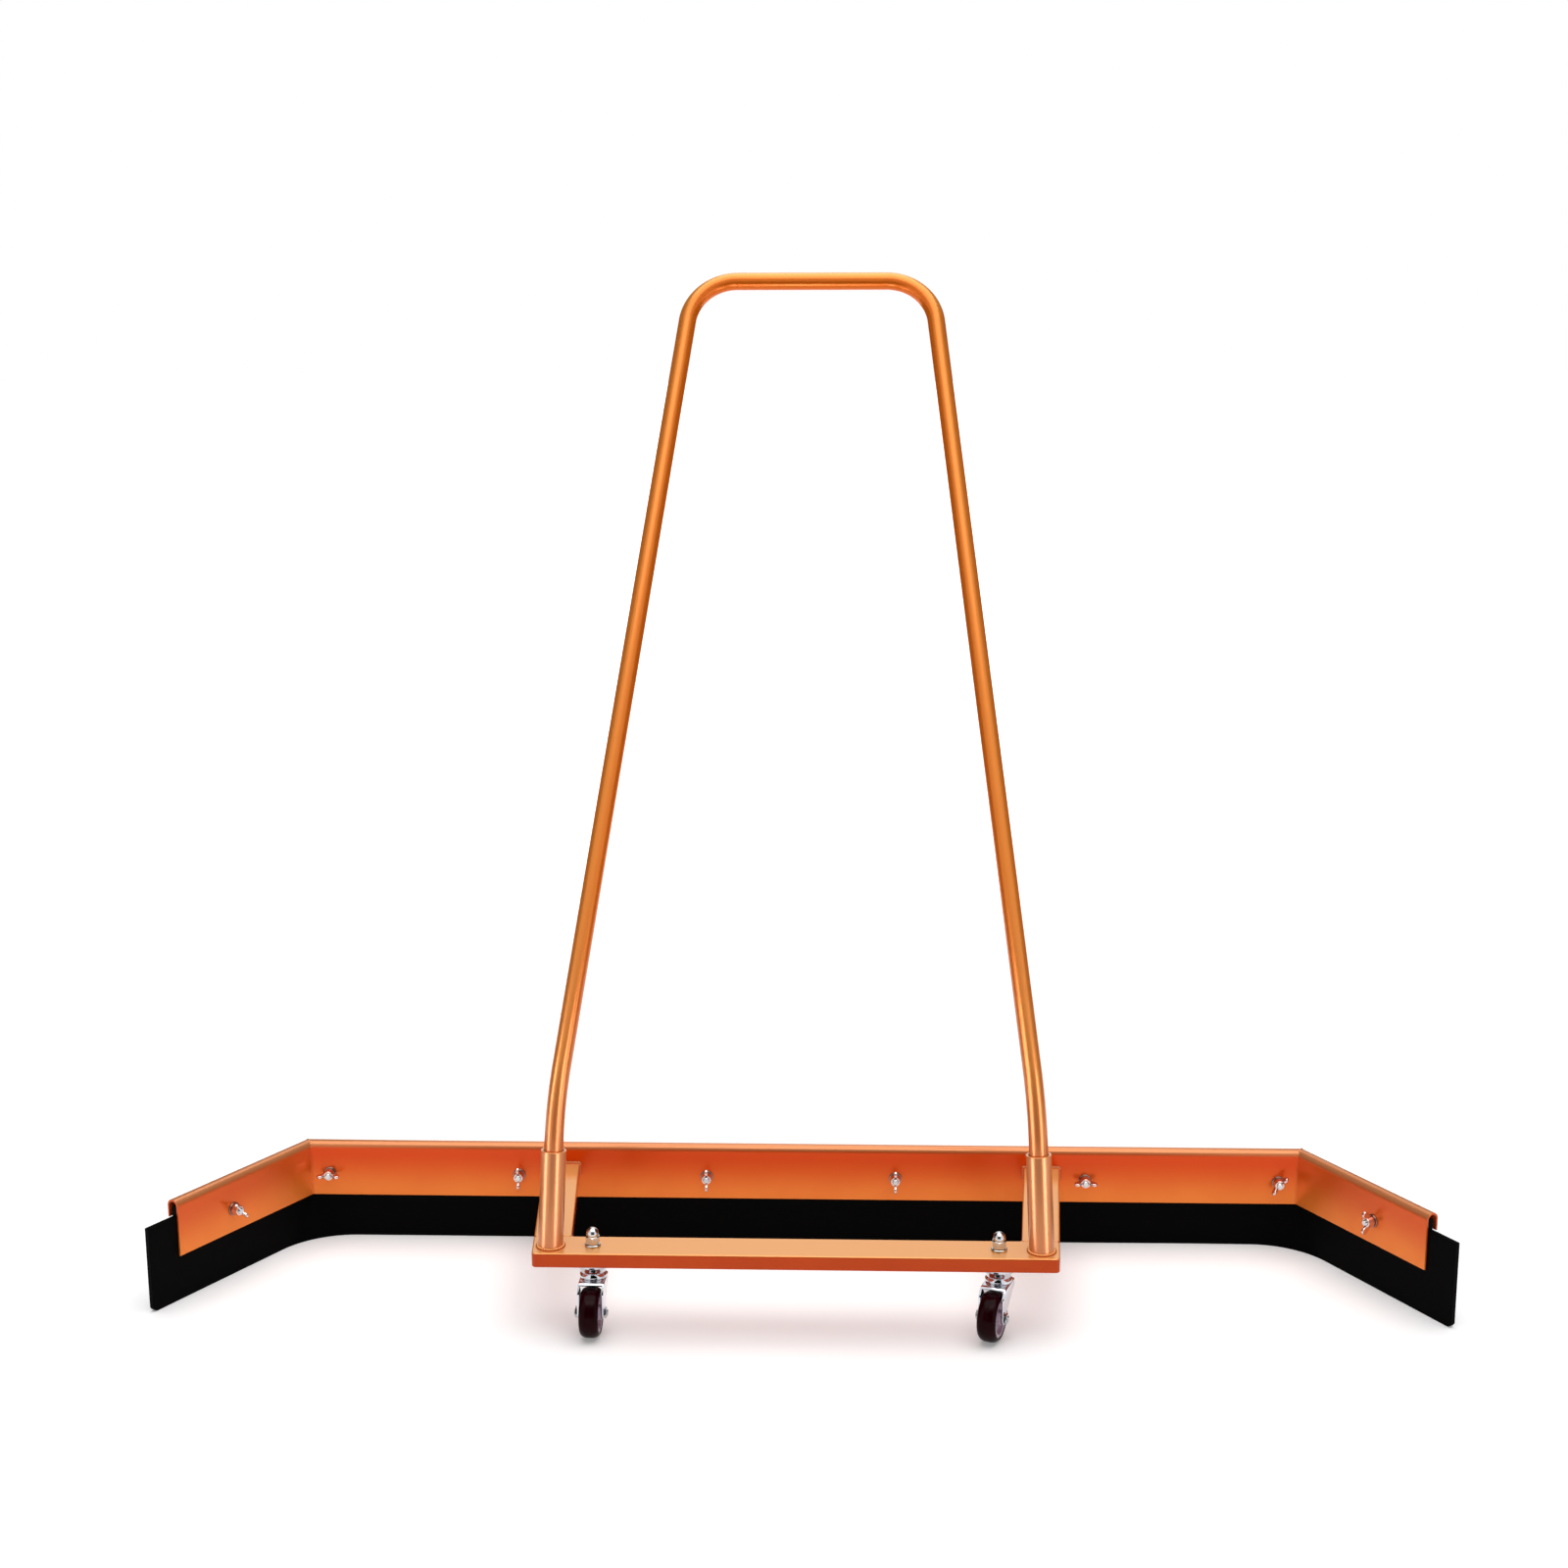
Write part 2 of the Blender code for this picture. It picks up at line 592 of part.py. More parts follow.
def build_sockets(orange):
    for side, name in ((-1, "left_handle_socket"), (1, "right_handle_socket")):
        foot, head = socket_axis(side)
        length = (head - foot).length
        skirt = 0.010
        bm = bmesh.new()
        inner = SOCKET_RADIUS - SOCKET_WALL
        edge = 0.0006
        turned(bm, [(inner, -skirt), (SOCKET_RADIUS, -skirt), (SOCKET_RADIUS, length - edge),
                    (SOCKET_RADIUS - edge, length), (inner, length)], 24)
        lean = Vector((0, 0, 1)).rotation_difference(head - foot).to_matrix().to_4x4()
        lean.translation = foot
        bmesh.ops.transform(bm, matrix=lean, verts=bm.verts)
        cut = bmesh.ops.bisect_plane(bm, geom=[*bm.verts, *bm.edges, *bm.faces], clear_inner=True,
                                     plane_co=(0, 0, BAR_TOP_Z + GAP), plane_no=(0, 0, 1))
        rim = [part for part in cut["geom_cut"] if isinstance(part, bmesh.types.BMEdge)]
        bmesh.ops.bridge_loops(bm, edges=rim)
        add_object(name, mesh_from(bm, name, True), orange)


def fillet(before, corner, after, radius, steps):
    """Points of the arc that rounds a corner between two straight runs."""
    into = (corner - before).normalized()
    out = (after - corner).normalized()
    turn = into.angle(out)
    run = radius * tan(turn / 2)
    start = corner - into * run
    normal = (out - into * into.dot(out)).normalized()
    return [start + into * radius * sin(turn * i / steps) + normal * radius * (1 - cos(turn * i / steps))
            for i in range(steps + 1)]


def handle_leg(side, top, other):
    """Centre line of one leg, from its foot to the far end of its top corner."""
    foot, head = socket_axis(side)
    axis = (head - foot).normalized()
    start = foot + axis * HANDLE_FOOT_CLEAR
    bend = foot + axis * ((HANDLE_BEND_Z - foot.z) / axis.z)
    leg = [start]
    leg += fillet(start, bend, top, HANDLE_BEND_RADIUS, 5)
    leg += fillet(bend, top, other, HANDLE_TOP_RADIUS, 9)
    return leg


def handle_path():
    """Centre line of the handle from the right foot over the top to the left foot."""
    left, right = (moved((side * HANDLE_TOP.x + HANDLE_SWAY, HANDLE_TOP.y, HANDLE_TOP.z))
                   for side in (-1, 1))
    return handle_leg(1, right, left) + handle_leg(-1, left, right)[::-1]


def build_handle(orange):
    curve = bpy.data.curves.new("push_handle", "CURVE")
    curve.dimensions = "3D"
    curve.bevel_depth = HANDLE_RADIUS
    curve.bevel_resolution = 4
    curve.use_fill_caps = False
    path = handle_path()
    spline = curve.splines.new("POLY")
    spline.points.add(len(path) - 1)
    for point, place in zip(spline.points, path):
        point.co = (*place, 1.0)
    handle = add_object("push_handle", curve)
    curve.materials.append(orange)
    wall = handle.modifiers.new("wall", "SOLIDIFY")
    wall.thickness = HANDLE_WALL
    wall.offset = -1.0
    wall.use_rim = True


def caster_root_parts(prefix, side, steel, zinc):
    """Pieces that stay with the crossbar: stem, upper race, washer and cap nut."""
    place = Matrix.Translation(moved((side * STEM_X, STEM_Y, 0.0)))
    low, high = STEM_HEAD_Z
    chamfer = 0.0008
    bm = bmesh.new()
    turned(bm, [(0, low), (STEM_HEAD_RADIUS - chamfer, low), (STEM_HEAD_RADIUS, low + chamfer),
                (STEM_HEAD_RADIUS, high), (STEM_RADIUS, high), (STEM_RADIUS, STEM_TOP_Z - chamfer),
                (STEM_RADIUS - chamfer, STEM_TOP_Z), (0, STEM_TOP_Z)], 16, closed=False)
    add_object(prefix + "_caster_stem", mesh_from(bm, "stem", True), zinc, place)

    low, high = RACE_Z
    bm = bmesh.new()
    neck = RACE_NECK_RADIUS
    cup = 0.0020
    turned(bm, [(STEM_HOLE, low + cup), (neck - 2 * cup, low + cup), (neck - cup, low), (neck, low),
                (neck + 0.0015, low + 0.0030), (RACE_RADIUS - 0.0010, high - 2 * RACE_BRIM),
                (RACE_RADIUS, high - RACE_BRIM), (RACE_RADIUS, high), (STEM_HOLE, high)], 24)
    add_object(prefix + "_caster_upper_race", mesh_from(bm, "upper_race", True), steel, place)

    washer = washer_mesh("cap_washer", CAP_WASHER_RADIUS, STEM_HOLE, CAP_WASHER_THICKNESS, 20)
    base = BAR_TOP_Z + GAP
    add_object(prefix + "_cap_nut_washer", washer, zinc, place @ Matrix.Translation((0, 0, base)))
    nut = cap_nut_mesh(base + CAP_WASHER_THICKNESS + GAP)
    add_object(prefix + "_cap_nut", nut, zinc, place)


def cap_nut_mesh(low):
    """Domed nut: a hexagon with a round cap, and a blind hole for the stem."""
    high = low + CAP_NUT_HEX
    bm = bmesh.new()
    prism(bm, hexagon(CAP_NUT_FLATS), low, high)
    body = add_object("tool_nut_body", mesh_from(bm, "tool_nut_body", False))
    rise = CAP_NUT_DOME_SIDE
    dome = [(radius, high + rise + height) for radius, height in arc((0, 0), CAP_NUT_DOME, 0.0, pi / 2, 5)]
    dome[-1] = (0.0, dome[-1][1])
    bm = bmesh.new()
    turned(bm, [(0, high - 0.002), (CAP_NUT_DOME, high - 0.002), *dome], 18, closed=False)
    cap = add_object("tool_nut_cap", mesh_from(bm, "tool_nut_cap", False))
    combine(body, cap, "UNION")
    bm = bmesh.new()
    prism(bm, ring_outline(STEM_HOLE, 16), low - 0.002, CAP_NUT_HOLE_TOP_Z)
    hole = add_object("tool_nut_hole", mesh_from(bm, "tool_nut_hole", False))
    combine(body, hole, "DIFFERENCE")
    return finished_mesh(body, "cap_nut", [cap, hole])


def fork_mesh():
    """Fork pressed from sheet: a crown under the bearing and two legs that trail to the axle."""
    low, high = CROWN_Z
    half = FORK_GAP_HALF + FORK_PLATE
    boss = (-WHEEL_TRAIL, WHEEL_RADIUS)
    outline = [(FORK_HEEL_Y, high), (FORK_HEEL_Y, low - FORK_HEEL_DROP)]
    outline += arc(boss, AXLE_BOSS, 0.15 * pi, -pi, 7)
    outline += [(FORK_KNEE_Y, low - FORK_KNEE_DROP), (FORK_TOE_Y, high)]
    bm = bmesh.new()
    prism(bm, outline, -half, half)
    sideways = Matrix(((0, 0, 1, 0), (1, 0, 0, 0), (0, 1, 0, 0), (0, 0, 0, 1)))
    bmesh.ops.transform(bm, matrix=sideways, verts=bm.verts)
    fork = add_object("tool_fork", mesh_from(bm, "tool_fork", False))
    bm = bmesh.new()
    reach = FORK_GAP_HALF
    prism(bm, [(-reach, -0.040), (reach, -0.040), (reach, 0.030), (-reach, 0.030)], 0.0, low)
    slot = add_object("tool_fork_slot", mesh_from(bm, "tool_fork_slot", False))
    combine(fork, slot, "DIFFERENCE")
    bm = bmesh.new()
    prism(bm, ring_outline(STEM_RADIUS + 2 * GAP, 16), low - 0.002, high + 0.002)
    pin_hole = add_object("tool_pin_hole", mesh_from(bm, "tool_pin_hole", False))
    combine(fork, pin_hole, "DIFFERENCE")
    bm = bmesh.new()
    prism(bm, ring_outline(M6_HOLE, 16), -2 * half, 2 * half)
    turn = Matrix.Translation((0, boss[0], boss[1])) @ Matrix.Rotation(pi / 2, 4, "Y")
    bmesh.ops.transform(bm, matrix=turn, verts=bm.verts)
    axle_hole = add_object("tool_axle_hole", mesh_from(bm, "tool_axle_hole", False))
    combine(fork, axle_hole, "DIFFERENCE")
    return finished_mesh(fork, "caster_fork", [slot, pin_hole, axle_hole])


def tyre_mesh():
    """A crowned tyre: wide elliptical shoulders leave a narrow tread."""
    shoulder = TYRE_SHOULDER
    middle = TYRE_HALF_WIDTH - shoulder
    inner = HUB_RADIUS + GAP
    right = [(WHEEL_RADIUS - TYRE_CROWN_DROP * (1 - rise), middle + shoulder * out)
             for rise, out in arc((0.0, 0.0), 1.0, pi / 2, 0.0, 5)]
    left = [(radius, -width) for radius, width in reversed(right)]
    bm = bmesh.new()
    turned(bm, [(inner, HUB_HALF_WIDTH), *right, *left, (inner, -HUB_HALF_WIDTH)], 32)
    return mesh_from(bm, "tyre", True)


def hub_mesh():
    """Wheel centre: a bearing boss, a thin dished web and a rim under the tyre."""
    rim = HUB_HALF_WIDTH
    web = HUB_WEB_HALF_WIDTH
    boss = HUB_BOSS_HALF_WIDTH
    draft = 0.0008
    right = [(M6_HOLE, boss), (HUB_BOSS_RADIUS, boss), (HUB_BOSS_RADIUS + draft, web),
             (HUB_RIM_INSIDE - draft, web), (HUB_RIM_INSIDE, rim), (HUB_RADIUS, rim)]
    left = [(radius, -width) for radius, width in reversed(right)]
    bm = bmesh.new()
    turned(bm, right + left, 28)
    return mesh_from(bm, "hub", True)


def axle_bolt_mesh():
    half = FORK_GAP_HALF + FORK_PLATE
    seat = half + GAP
    bm = bmesh.new()
    prism(bm, hexagon(M6_HEX_FLATS), -seat - AXLE_HEAD, -seat)
    head = add_object("tool_axle_head", mesh_from(bm, "tool_axle_head", False))
    bm = bmesh.new()
    tip = AXLE_HALF_LENGTH
    chamfer = 0.0006
    turned(bm, [(0, -seat - AXLE_HEAD / 2), (M6_RADIUS, -seat - AXLE_HEAD / 2), (M6_RADIUS, tip - chamfer),
                (M6_RADIUS - chamfer, tip), (0, tip)], 16, closed=False)
    shank = add_object("tool_axle_shank", mesh_from(bm, "tool_axle_shank", True))
    combine(shank, head, "UNION")
    return finished_mesh(shank, "axle_bolt", [head])


def axle_nut_mesh():
    seat = FORK_GAP_HALF + FORK_PLATE + GAP
    bm = bmesh.new()
    prism(bm, hexagon(M6_HEX_FLATS), seat, seat + AXLE_HEAD)
    nut = add_object("tool_axle_nut", mesh_from(bm, "tool_axle_nut", False))
    bm = bmesh.new()
    prism(bm, ring_outline(M6_RADIUS + GAP, 16), seat - 0.002, seat + AXLE_HEAD + 0.002)
    hole = add_object("tool_axle_nut_hole", mesh_from(bm, "tool_axle_nut_hole", False))
    combine(nut, hole, "DIFFERENCE")
    return finished_mesh(nut, "axle_nut", [hole])


def build_caster(prefix, side, swivel, materials):
    steel, zinc, maroon, lilac = materials
    caster_root_parts(prefix, side, steel, zinc)
    pivot = Matrix.Translation(moved((side * STEM_X, STEM_Y, 0.0))) @ Matrix.Rotation(swivel, 4, "Z")
    turntable = add_empty(prefix + "_swivel_axis", pivot)
    add_object(prefix + "_caster_fork", fork_mesh(), steel, Matrix(), turntable)
    low = CROWN_Z[1] + GAP
    high = RACE_Z[0] - GAP
    bm = bmesh.new()
    inner = STEM_RADIUS + 2 * GAP
    turned(bm, [(inner, low), (BEARING_RADIUS, low), (BEARING_RADIUS, low + 0.0020), (0.0115, high),
                (inner, high)], 24)
    add_object(prefix + "_caster_lower_race", mesh_from(bm, "lower_race", True), steel, Matrix(), turntable)
    across = Matrix.Translation((0, -WHEEL_TRAIL, WHEEL_RADIUS)) @ Matrix.Rotation(pi / 2, 4, "Y")
    axle = add_empty(prefix + "_axle_axis", across, turntable)
    add_object(prefix + "_axle_bolt", axle_bolt_mesh(), zinc, Matrix(), axle)
    add_object(prefix + "_axle_nut", axle_nut_mesh(), zinc, Matrix(), axle)
    add_object(prefix + "_wheel_hub", hub_mesh(), lilac, Matrix(), axle)
    add_object(prefix + "_wheel_tyre", tyre_mesh(), maroon, Matrix(), axle)


def main():
    clear_scene()
    orange = make_material("orange_powder_coat", ORANGE, 0.35, 0.0)
    rubber = make_material("black_rubber", RUBBER, 0.6, 0.0)
    zinc = make_material("zinc_plate", ZINC, 0.3, 1.0)
    chrome = make_material("bright_chrome", CHROME, 0.12, 1.0)
    maroon = make_material("maroon_polyurethane", MAROON, 0.3, 0.0)
    lilac = make_material("lilac_grey_plastic", LILAC, 0.4, 0.0)
    frames = bolt_frames()
    build_rails(orange, frames)
    build_blade(rubber, frames)
    build_clamp_strips(zinc, frames)
    build_fasteners(zinc, frames)
    build_crossbar(orange)
    build_arms(orange)
    build_sockets(orange)
    build_handle(orange)
    build_caster("left", -1, LEFT_SWIVEL, (chrome, zinc, maroon, lilac))
    build_caster("right", 1, RIGHT_SWIVEL, (chrome, zinc, maroon, lilac))


main()
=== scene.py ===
# %% [markdown]
# # A wheeled push squeegee, piece by piece
#
# This squeegee pushes standing water across a large floor. A steel rail with two swept wings holds a
# thick rubber blade, a small steel frame in front of it rolls on two swivel casters, and a tall
# U-shaped handle leans back to the user. Everything in orange is steel under powder coat.
#
# The construction model comes first and stays where it is: its bodies, joints and sizes are fixed.
# Each cell below dresses one part of it, in metres, in the same frame.

# %% The fixed frame
import json
from functools import partial
from math import atan2, copysign, cos, pi, radians, sin, sqrt, tan

import bmesh
import bpy
from mathutils import Matrix, Vector


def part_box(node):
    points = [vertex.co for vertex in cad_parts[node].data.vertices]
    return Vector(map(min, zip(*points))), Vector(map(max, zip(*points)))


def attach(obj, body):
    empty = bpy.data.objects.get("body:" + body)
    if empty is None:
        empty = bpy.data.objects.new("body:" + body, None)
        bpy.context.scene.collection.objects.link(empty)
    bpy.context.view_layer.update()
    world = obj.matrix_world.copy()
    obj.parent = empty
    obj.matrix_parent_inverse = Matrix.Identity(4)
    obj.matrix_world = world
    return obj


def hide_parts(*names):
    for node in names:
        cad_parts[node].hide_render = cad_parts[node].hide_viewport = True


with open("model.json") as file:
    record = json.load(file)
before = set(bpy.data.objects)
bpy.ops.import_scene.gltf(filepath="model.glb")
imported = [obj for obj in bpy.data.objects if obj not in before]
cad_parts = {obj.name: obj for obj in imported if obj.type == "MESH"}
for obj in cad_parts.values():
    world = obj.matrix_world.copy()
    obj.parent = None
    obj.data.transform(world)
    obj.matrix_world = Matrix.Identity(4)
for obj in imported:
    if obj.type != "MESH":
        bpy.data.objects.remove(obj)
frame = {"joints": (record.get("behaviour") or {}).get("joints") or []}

scene = bpy.context.scene
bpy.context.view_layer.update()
joints = {joint["name"]: joint for joint in frame["joints"]}

# %% [markdown]
# ## Driving sizes
#
# A size that the frame can tell is read from it. The others are the maker's sizes, in millimetres.
# X runs along the blade, the user stands on the +Y side, and Z is up.

# %% Driving sizes
MM = 0.001
# parts that touch are drawn this far apart
GAP = 0.3 * MM
SIDES = ((-1, "left"), (1, "right"))

rail_low, rail_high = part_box("centre_blade_rail")
bar_low, bar_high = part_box("front_crossbar")

RAIL_FRONT = rail_low.y
RAIL_BOTTOM = rail_low.z
RAIL_TOP = rail_high.z
ROLL_RADIUS = (rail_high.y - rail_low.y) / 2
SHEET = 2.0 * MM
LIP_DROP = 20.0 * MM
WING_ANGLE = radians(58.0)
WING_LENGTH = 188.0 * MM
MITRE = tan(WING_ANGLE / 2)
CENTRE_HALF = rail_high.x + GAP / 2 - (rail_high.y - rail_low.y) * MITRE
print("centre rail half length in mm", round(CENTRE_HALF / MM, 2))


def wing_place(side, along, depth, height):
    """A point on a wing: along it from the corner, behind its front face, above the floor."""
    x = CENTRE_HALF + along * cos(WING_ANGLE) + depth * sin(WING_ANGLE)
    y = RAIL_FRONT - along * sin(WING_ANGLE) + depth * cos(WING_ANGLE)
    return Vector((side * x, y, height))


def centre_place(along, depth, height):
    """A point on the centre rail: along it from its middle, behind its front face, above the floor."""
    return Vector((along, RAIL_FRONT + depth, height))


# %% [markdown]
# ## Nodes without repetition
#
# Every shader and every Geometry Nodes tree here is built from the same small function. It adds one
# node, sets what is asked on it, and fills its inputs with values or with other nodes' outputs.

# %% Adding a node
def add_node(tree, kind, inputs=None, **settings):
    """Adds one node. inputs maps a socket's name or number to a value, to an output socket, or to a node
    whose first output is meant."""
    node = tree.nodes.new(kind)
    for name, value in settings.items():
        setattr(node, name, value)
    for key, value in (inputs or {}).items():
        if isinstance(value, bpy.types.Node):
            value = value.outputs[0]
        if isinstance(value, bpy.types.NodeSocket):
            tree.links.new(value, node.inputs[key])
        else:
            node.inputs[key].default_value = value
    return node


def colour(code):
    """The linear colour of an sRGB hex code."""
    def channel(pair):
        value = int(pair, 16) / 255
        return value / 12.92 if value <= 0.04045 else ((value + 0.055) / 1.055) ** 2.4
    return (channel(code[1:3]), channel(code[3:5]), channel(code[5:7]), 1.0)


print("mid grey #808080 is", round(colour("#808080")[0], 3), "in linear light")

# %% [markdown]
# ## Materials
#
# A material starts from what the real surface is and how it was made. The textures read Object
# coordinates, so a noise scale is one over a real size in metres.


# %% Making a surface
def surface(name, tints, cloud_size, roughness, grain_size, grain_depth, sockets, stretch=None):
    """A named material. Every finish here shares two tints and a roughness that drift together over
    clouds, and a finer grain in relief. Sizes are metres, roughness is its lowest and highest value,
    sockets hold what is the same all over, and stretch draws the patterns out along an axis."""
    material = bpy.data.materials.new(name)
    material.use_nodes = True
    tree = material.node_tree
    shader = tree.nodes["Principled BSDF"]
    for key, value in sockets.items():
        shader.inputs[key].default_value = value
    place = add_node(tree, "ShaderNodeTexCoord").outputs["Object"]
    if stretch:
        place = add_node(tree, "ShaderNodeMapping", {"Vector": place, "Scale": stretch}).outputs[0]
    cloud = add_node(tree, "ShaderNodeTexNoise", {"Vector": place, "Scale": 1 / cloud_size, "Detail": 3.0})
    # a noise keeps mostly between 0.3 and 0.7, so that span is stretched to the whole range
    share = add_node(tree, "ShaderNodeMapRange", {"Value": cloud, "From Min": 0.3, "From Max": 0.7})
    mixed = {0: share, 6: colour(tints[0]), 7: colour(tints[1])}
    tint = add_node(tree, "ShaderNodeMix", mixed, data_type="RGBA")
    gloss = {"Value": share, "To Min": roughness[0], "To Max": roughness[1]}
    gloss = add_node(tree, "ShaderNodeMapRange", gloss)
    grain = add_node(tree, "ShaderNodeTexNoise", {"Vector": place, "Scale": 1 / grain_size, "Detail": 1.5})
    relief = add_node(tree, "ShaderNodeBump", {"Height": grain, "Distance": grain_depth})
    tree.links.new(tint.outputs[2], shader.inputs["Base Color"])
    tree.links.new(gloss.outputs[0], shader.inputs["Roughness"])
    tree.links.new(relief.outputs[0], shader.inputs["Normal"])
    return material, tree, shader, place


# %% [markdown]
# ## Powder coat
#
# Polyester powder with fine metal flake, baked on steel, is a smooth skin that glows in its highlights
# and turns pale at a grazing angle, with a faint orange peel. The film's thickness drifts over some
# centimetres, and with it the orange. The tint also drifts with height, and where a face looks up it
# turns paler: that is painted light from above. On the rails the drift with height is painted light
# and shade, paler towards the lower edge and deeper under the rolled edge, and the roll's top carries
# a painted highlight.


# %% Powder-coated steel
def drift(tree, shader, vector, low, high, far_tint):
    """Lets the base colour drift to another tint while a vector's Z goes from low to high."""
    tint = shader.inputs["Base Color"].links[0].from_socket
    measure = add_node(tree, "ShaderNodeSeparateXYZ", {0: vector}).outputs["Z"]
    share = {"Value": measure, "From Min": low, "From Max": high}
    share = add_node(tree, "ShaderNodeMapRange", share, interpolation_type="SMOOTHSTEP")
    mixed = add_node(tree, "ShaderNodeMix", {0: share, 6: tint, 7: colour(far_tint)}, data_type="RGBA")
    tree.links.new(mixed.outputs[2], shader.inputs["Base Color"])


def powder_coated_steel(word, tints, levels, far_tint, painted_light_top_tint, rise=(0.1, 1.0)):
    """The coat's two tints drift to far_tint between two levels, and to the top tint where a face looks
    up, as painted light from above: rise is how far up it looks where that starts and where it is full."""
    # the thin clear skin has a low IOR: next to nothing from the front, pale at a grazing angle
    sockets = {"Metallic": 0.3, "IOR": 1.5, "Specular IOR Level": 0.15,
               "Coat Weight": 0.8, "Coat Roughness": 0.15, "Coat IOR": 1.2}
    # real peel cells are 1 to 2 mm wide, drawn at 4 mm so that they show from a step away
    material, tree, shader, place = surface("powder_coated_steel_orange_" + word, tints, 55 * MM,
                                            (0.235, 0.27), 4 * MM, 0.03 * MM, sockets)
    # drift with height; on the rails it is painted shade under the roll and painted light towards the lower
    # edge
    drift(tree, shader, place, *levels, far_tint)
    # painted light from above: faces that look up turn to the top tint
    drift(tree, shader, add_node(tree, "ShaderNodeNewGeometry").outputs["Normal"], *rise, painted_light_top_tint)
    return material


# one orange coat in five copies, each tinted deeper or paler as painted shade and light for how light falls
# on its part
POWDER = powder_coated_steel("frame", ("#CE4806", "#C64204"), (RAIL_TOP, 2 * RAIL_TOP), "#E4660E", "#EFA65F")
HANDLE_POWDER = powder_coated_steel("handle", ("#DA8048", "#D67C44"), (0.18, 0.45), "#E66E10", "#F5A850")
# rails and wings: the pale tint at the lower edge is painted floor light, the deep far tint under the roll
# is painted shade, and the top tint paints a highlight on the roll
RAIL_POWDER, WING_POWDER = [
    powder_coated_steel(word, ("#FF8A34", "#FA8230"), (RAIL_BOTTOM, RAIL_TOP - 12 * MM), far_tint, "#D28452",
                        rise=(0.02, 0.6)) for word, far_tint in (("rail", "#EC4E04"), ("wing", "#E85E1C"))]
SOCKET_POWDER = powder_coated_steel("socket", ("#E08E5C", "#DC8A58"), (0.3, 1.0), "#E4660E", "#EFA65F")
print("powder coat in five tints, for frame, handle, rails, wings and sockets")

# %% [markdown]
# ## The other finishes
#
# The blade is natural rubber filled with carbon black and rolled into sheet: matt, very dark, with a
# faint bloom. Bolts, nuts and washers are bright electroplated zinc. Its passivation leaves faint
# clouds. The plain zinc is clear and cool, and the wing nuts' zinc is warm and rosy. The washers' zinc
# is darker and duller: that is painted shade round each wing nut. Forks and races are bright chromium
# over pressed steel: a near mirror that still shows the press work's waviness. The tyres are
# polyurethane cast round the wheel centre, dense dark maroon with a wet-looking skin, and the centre
# is injection-moulded polypropylene in a lilac grey, with a fine spark-eroded texture. As shaders they
# differ only in numbers, so one function makes them all.

# %% The other finishes
# the grain of the rolls is about 0.5 mm, drawn at 3 mm and along the blade so that it shows
RUBBER = surface("calendered_sheet_rubber_black", ("#020202", "#050505"), 70 * MM, (0.52, 0.68),
                 3 * MM, 0.05 * MM, {"Specular IOR Level": 0.03}, stretch=(0.25, 1.0, 1.0))[0]
# the washers' dull zinc is darker as painted shade round the wing nuts
ZINC, WARM_ZINC, PAINTED_SHADE_ZINC = [
    surface("electroplated_zinc_" + word, tints, 7 * MM, (0.18, 0.27), 1.5 * MM, 0.03 * MM,
            {"Metallic": 1.0})[0]
    for word, tints in (("clear", ("#D9D4CB", "#C3CBD6")), ("warm", ("#E9CDC0", "#DDB9B2")),
                        ("dull", ("#A08070", "#907066")))]
CHROME = surface("bright_chrome_plate", ("#DDDEE2", "#CDD0D8"), 12 * MM, (0.05, 0.14), 9 * MM, 0.05 * MM,
                 {"Metallic": 1.0})[0]
TYRE = surface("cast_polyurethane_maroon", ("#250106", "#190003"), 14 * MM, (0.18, 0.27), 2 * MM, 0.02 * MM,
               {"IOR": 1.5, "Specular IOR Level": 0.05})[0]
# spark grain is 0.1 mm, drawn at 1 mm so that it shows
PLASTIC = surface("moulded_polypropylene_lilac_grey", ("#BFA9B8", "#B39CAD"), 18 * MM, (0.36, 0.50),
                  1 * MM, 0.02 * MM, {"IOR": 1.49})[0]
SLOTS = dict.fromkeys((POWDER, HANDLE_POWDER, RAIL_POWDER, WING_POWDER, SOCKET_POWDER), "orange_powder_coat")
SLOTS |= dict.fromkeys((ZINC, WARM_ZINC, PAINTED_SHADE_ZINC), "zinc_plate")
SLOTS |= {RUBBER: "black_rubber", CHROME: "bright_chrome", TYRE: "maroon_polyurethane",
          PLASTIC: "lilac_grey_plastic"}
for made in SLOTS:
    print("material", made.name, "with", len(made.node_tree.nodes), "nodes")

# %% [markdown]
# ## Tools for shapes
#
# Most pieces here are one of three things: a flat outline with soft corners that is drawn out along a
# line, a stack of levels skinned round an axis, or a copy of a small part at several places. The next
# cells hold the functions for the first two, and for showing a piece.


# %% Soft corners and arcs
def arc(centre, radius, start, end, steps):
    """Points on an arc in a plane, both ends included."""
    turn = [start + (end - start) * i / steps for i in range(steps + 1)]
    return [(centre[0] + radius * cos(angle), centre[1] + radius * sin(angle)) for angle in turn]


def soften(corners, closed=True, steps=5):
    """Rounds an outline. A corner is (x, y), or (x, y, radius) where it is to be round."""
    points = []
    for i, corner in enumerate(corners):
        here = Vector(corner[:2])
        is_end = not closed and i in (0, len(corners) - 1)
        if len(corner) < 3 or corner[2] == 0 or is_end:
            points.append((here.x, here.y))
            continue
        before = (Vector(corners[i - 1][:2]) - here).normalized()
        after = (Vector(corners[(i + 1) % len(corners)][:2]) - here).normalized()
        half = before.angle(after) / 2
        centre = here + (before + after).normalized() * corner[2] / sin(half)
        first = here + before * corner[2] / tan(half) - centre
        last = here + after * corner[2] / tan(half) - centre
        start = atan2(first.y, first.x)
        sweep = (atan2(last.y, last.x) - start + pi) % (2 * pi) - pi
        points += arc(centre, corner[2], start, start + sweep, steps)
    return points


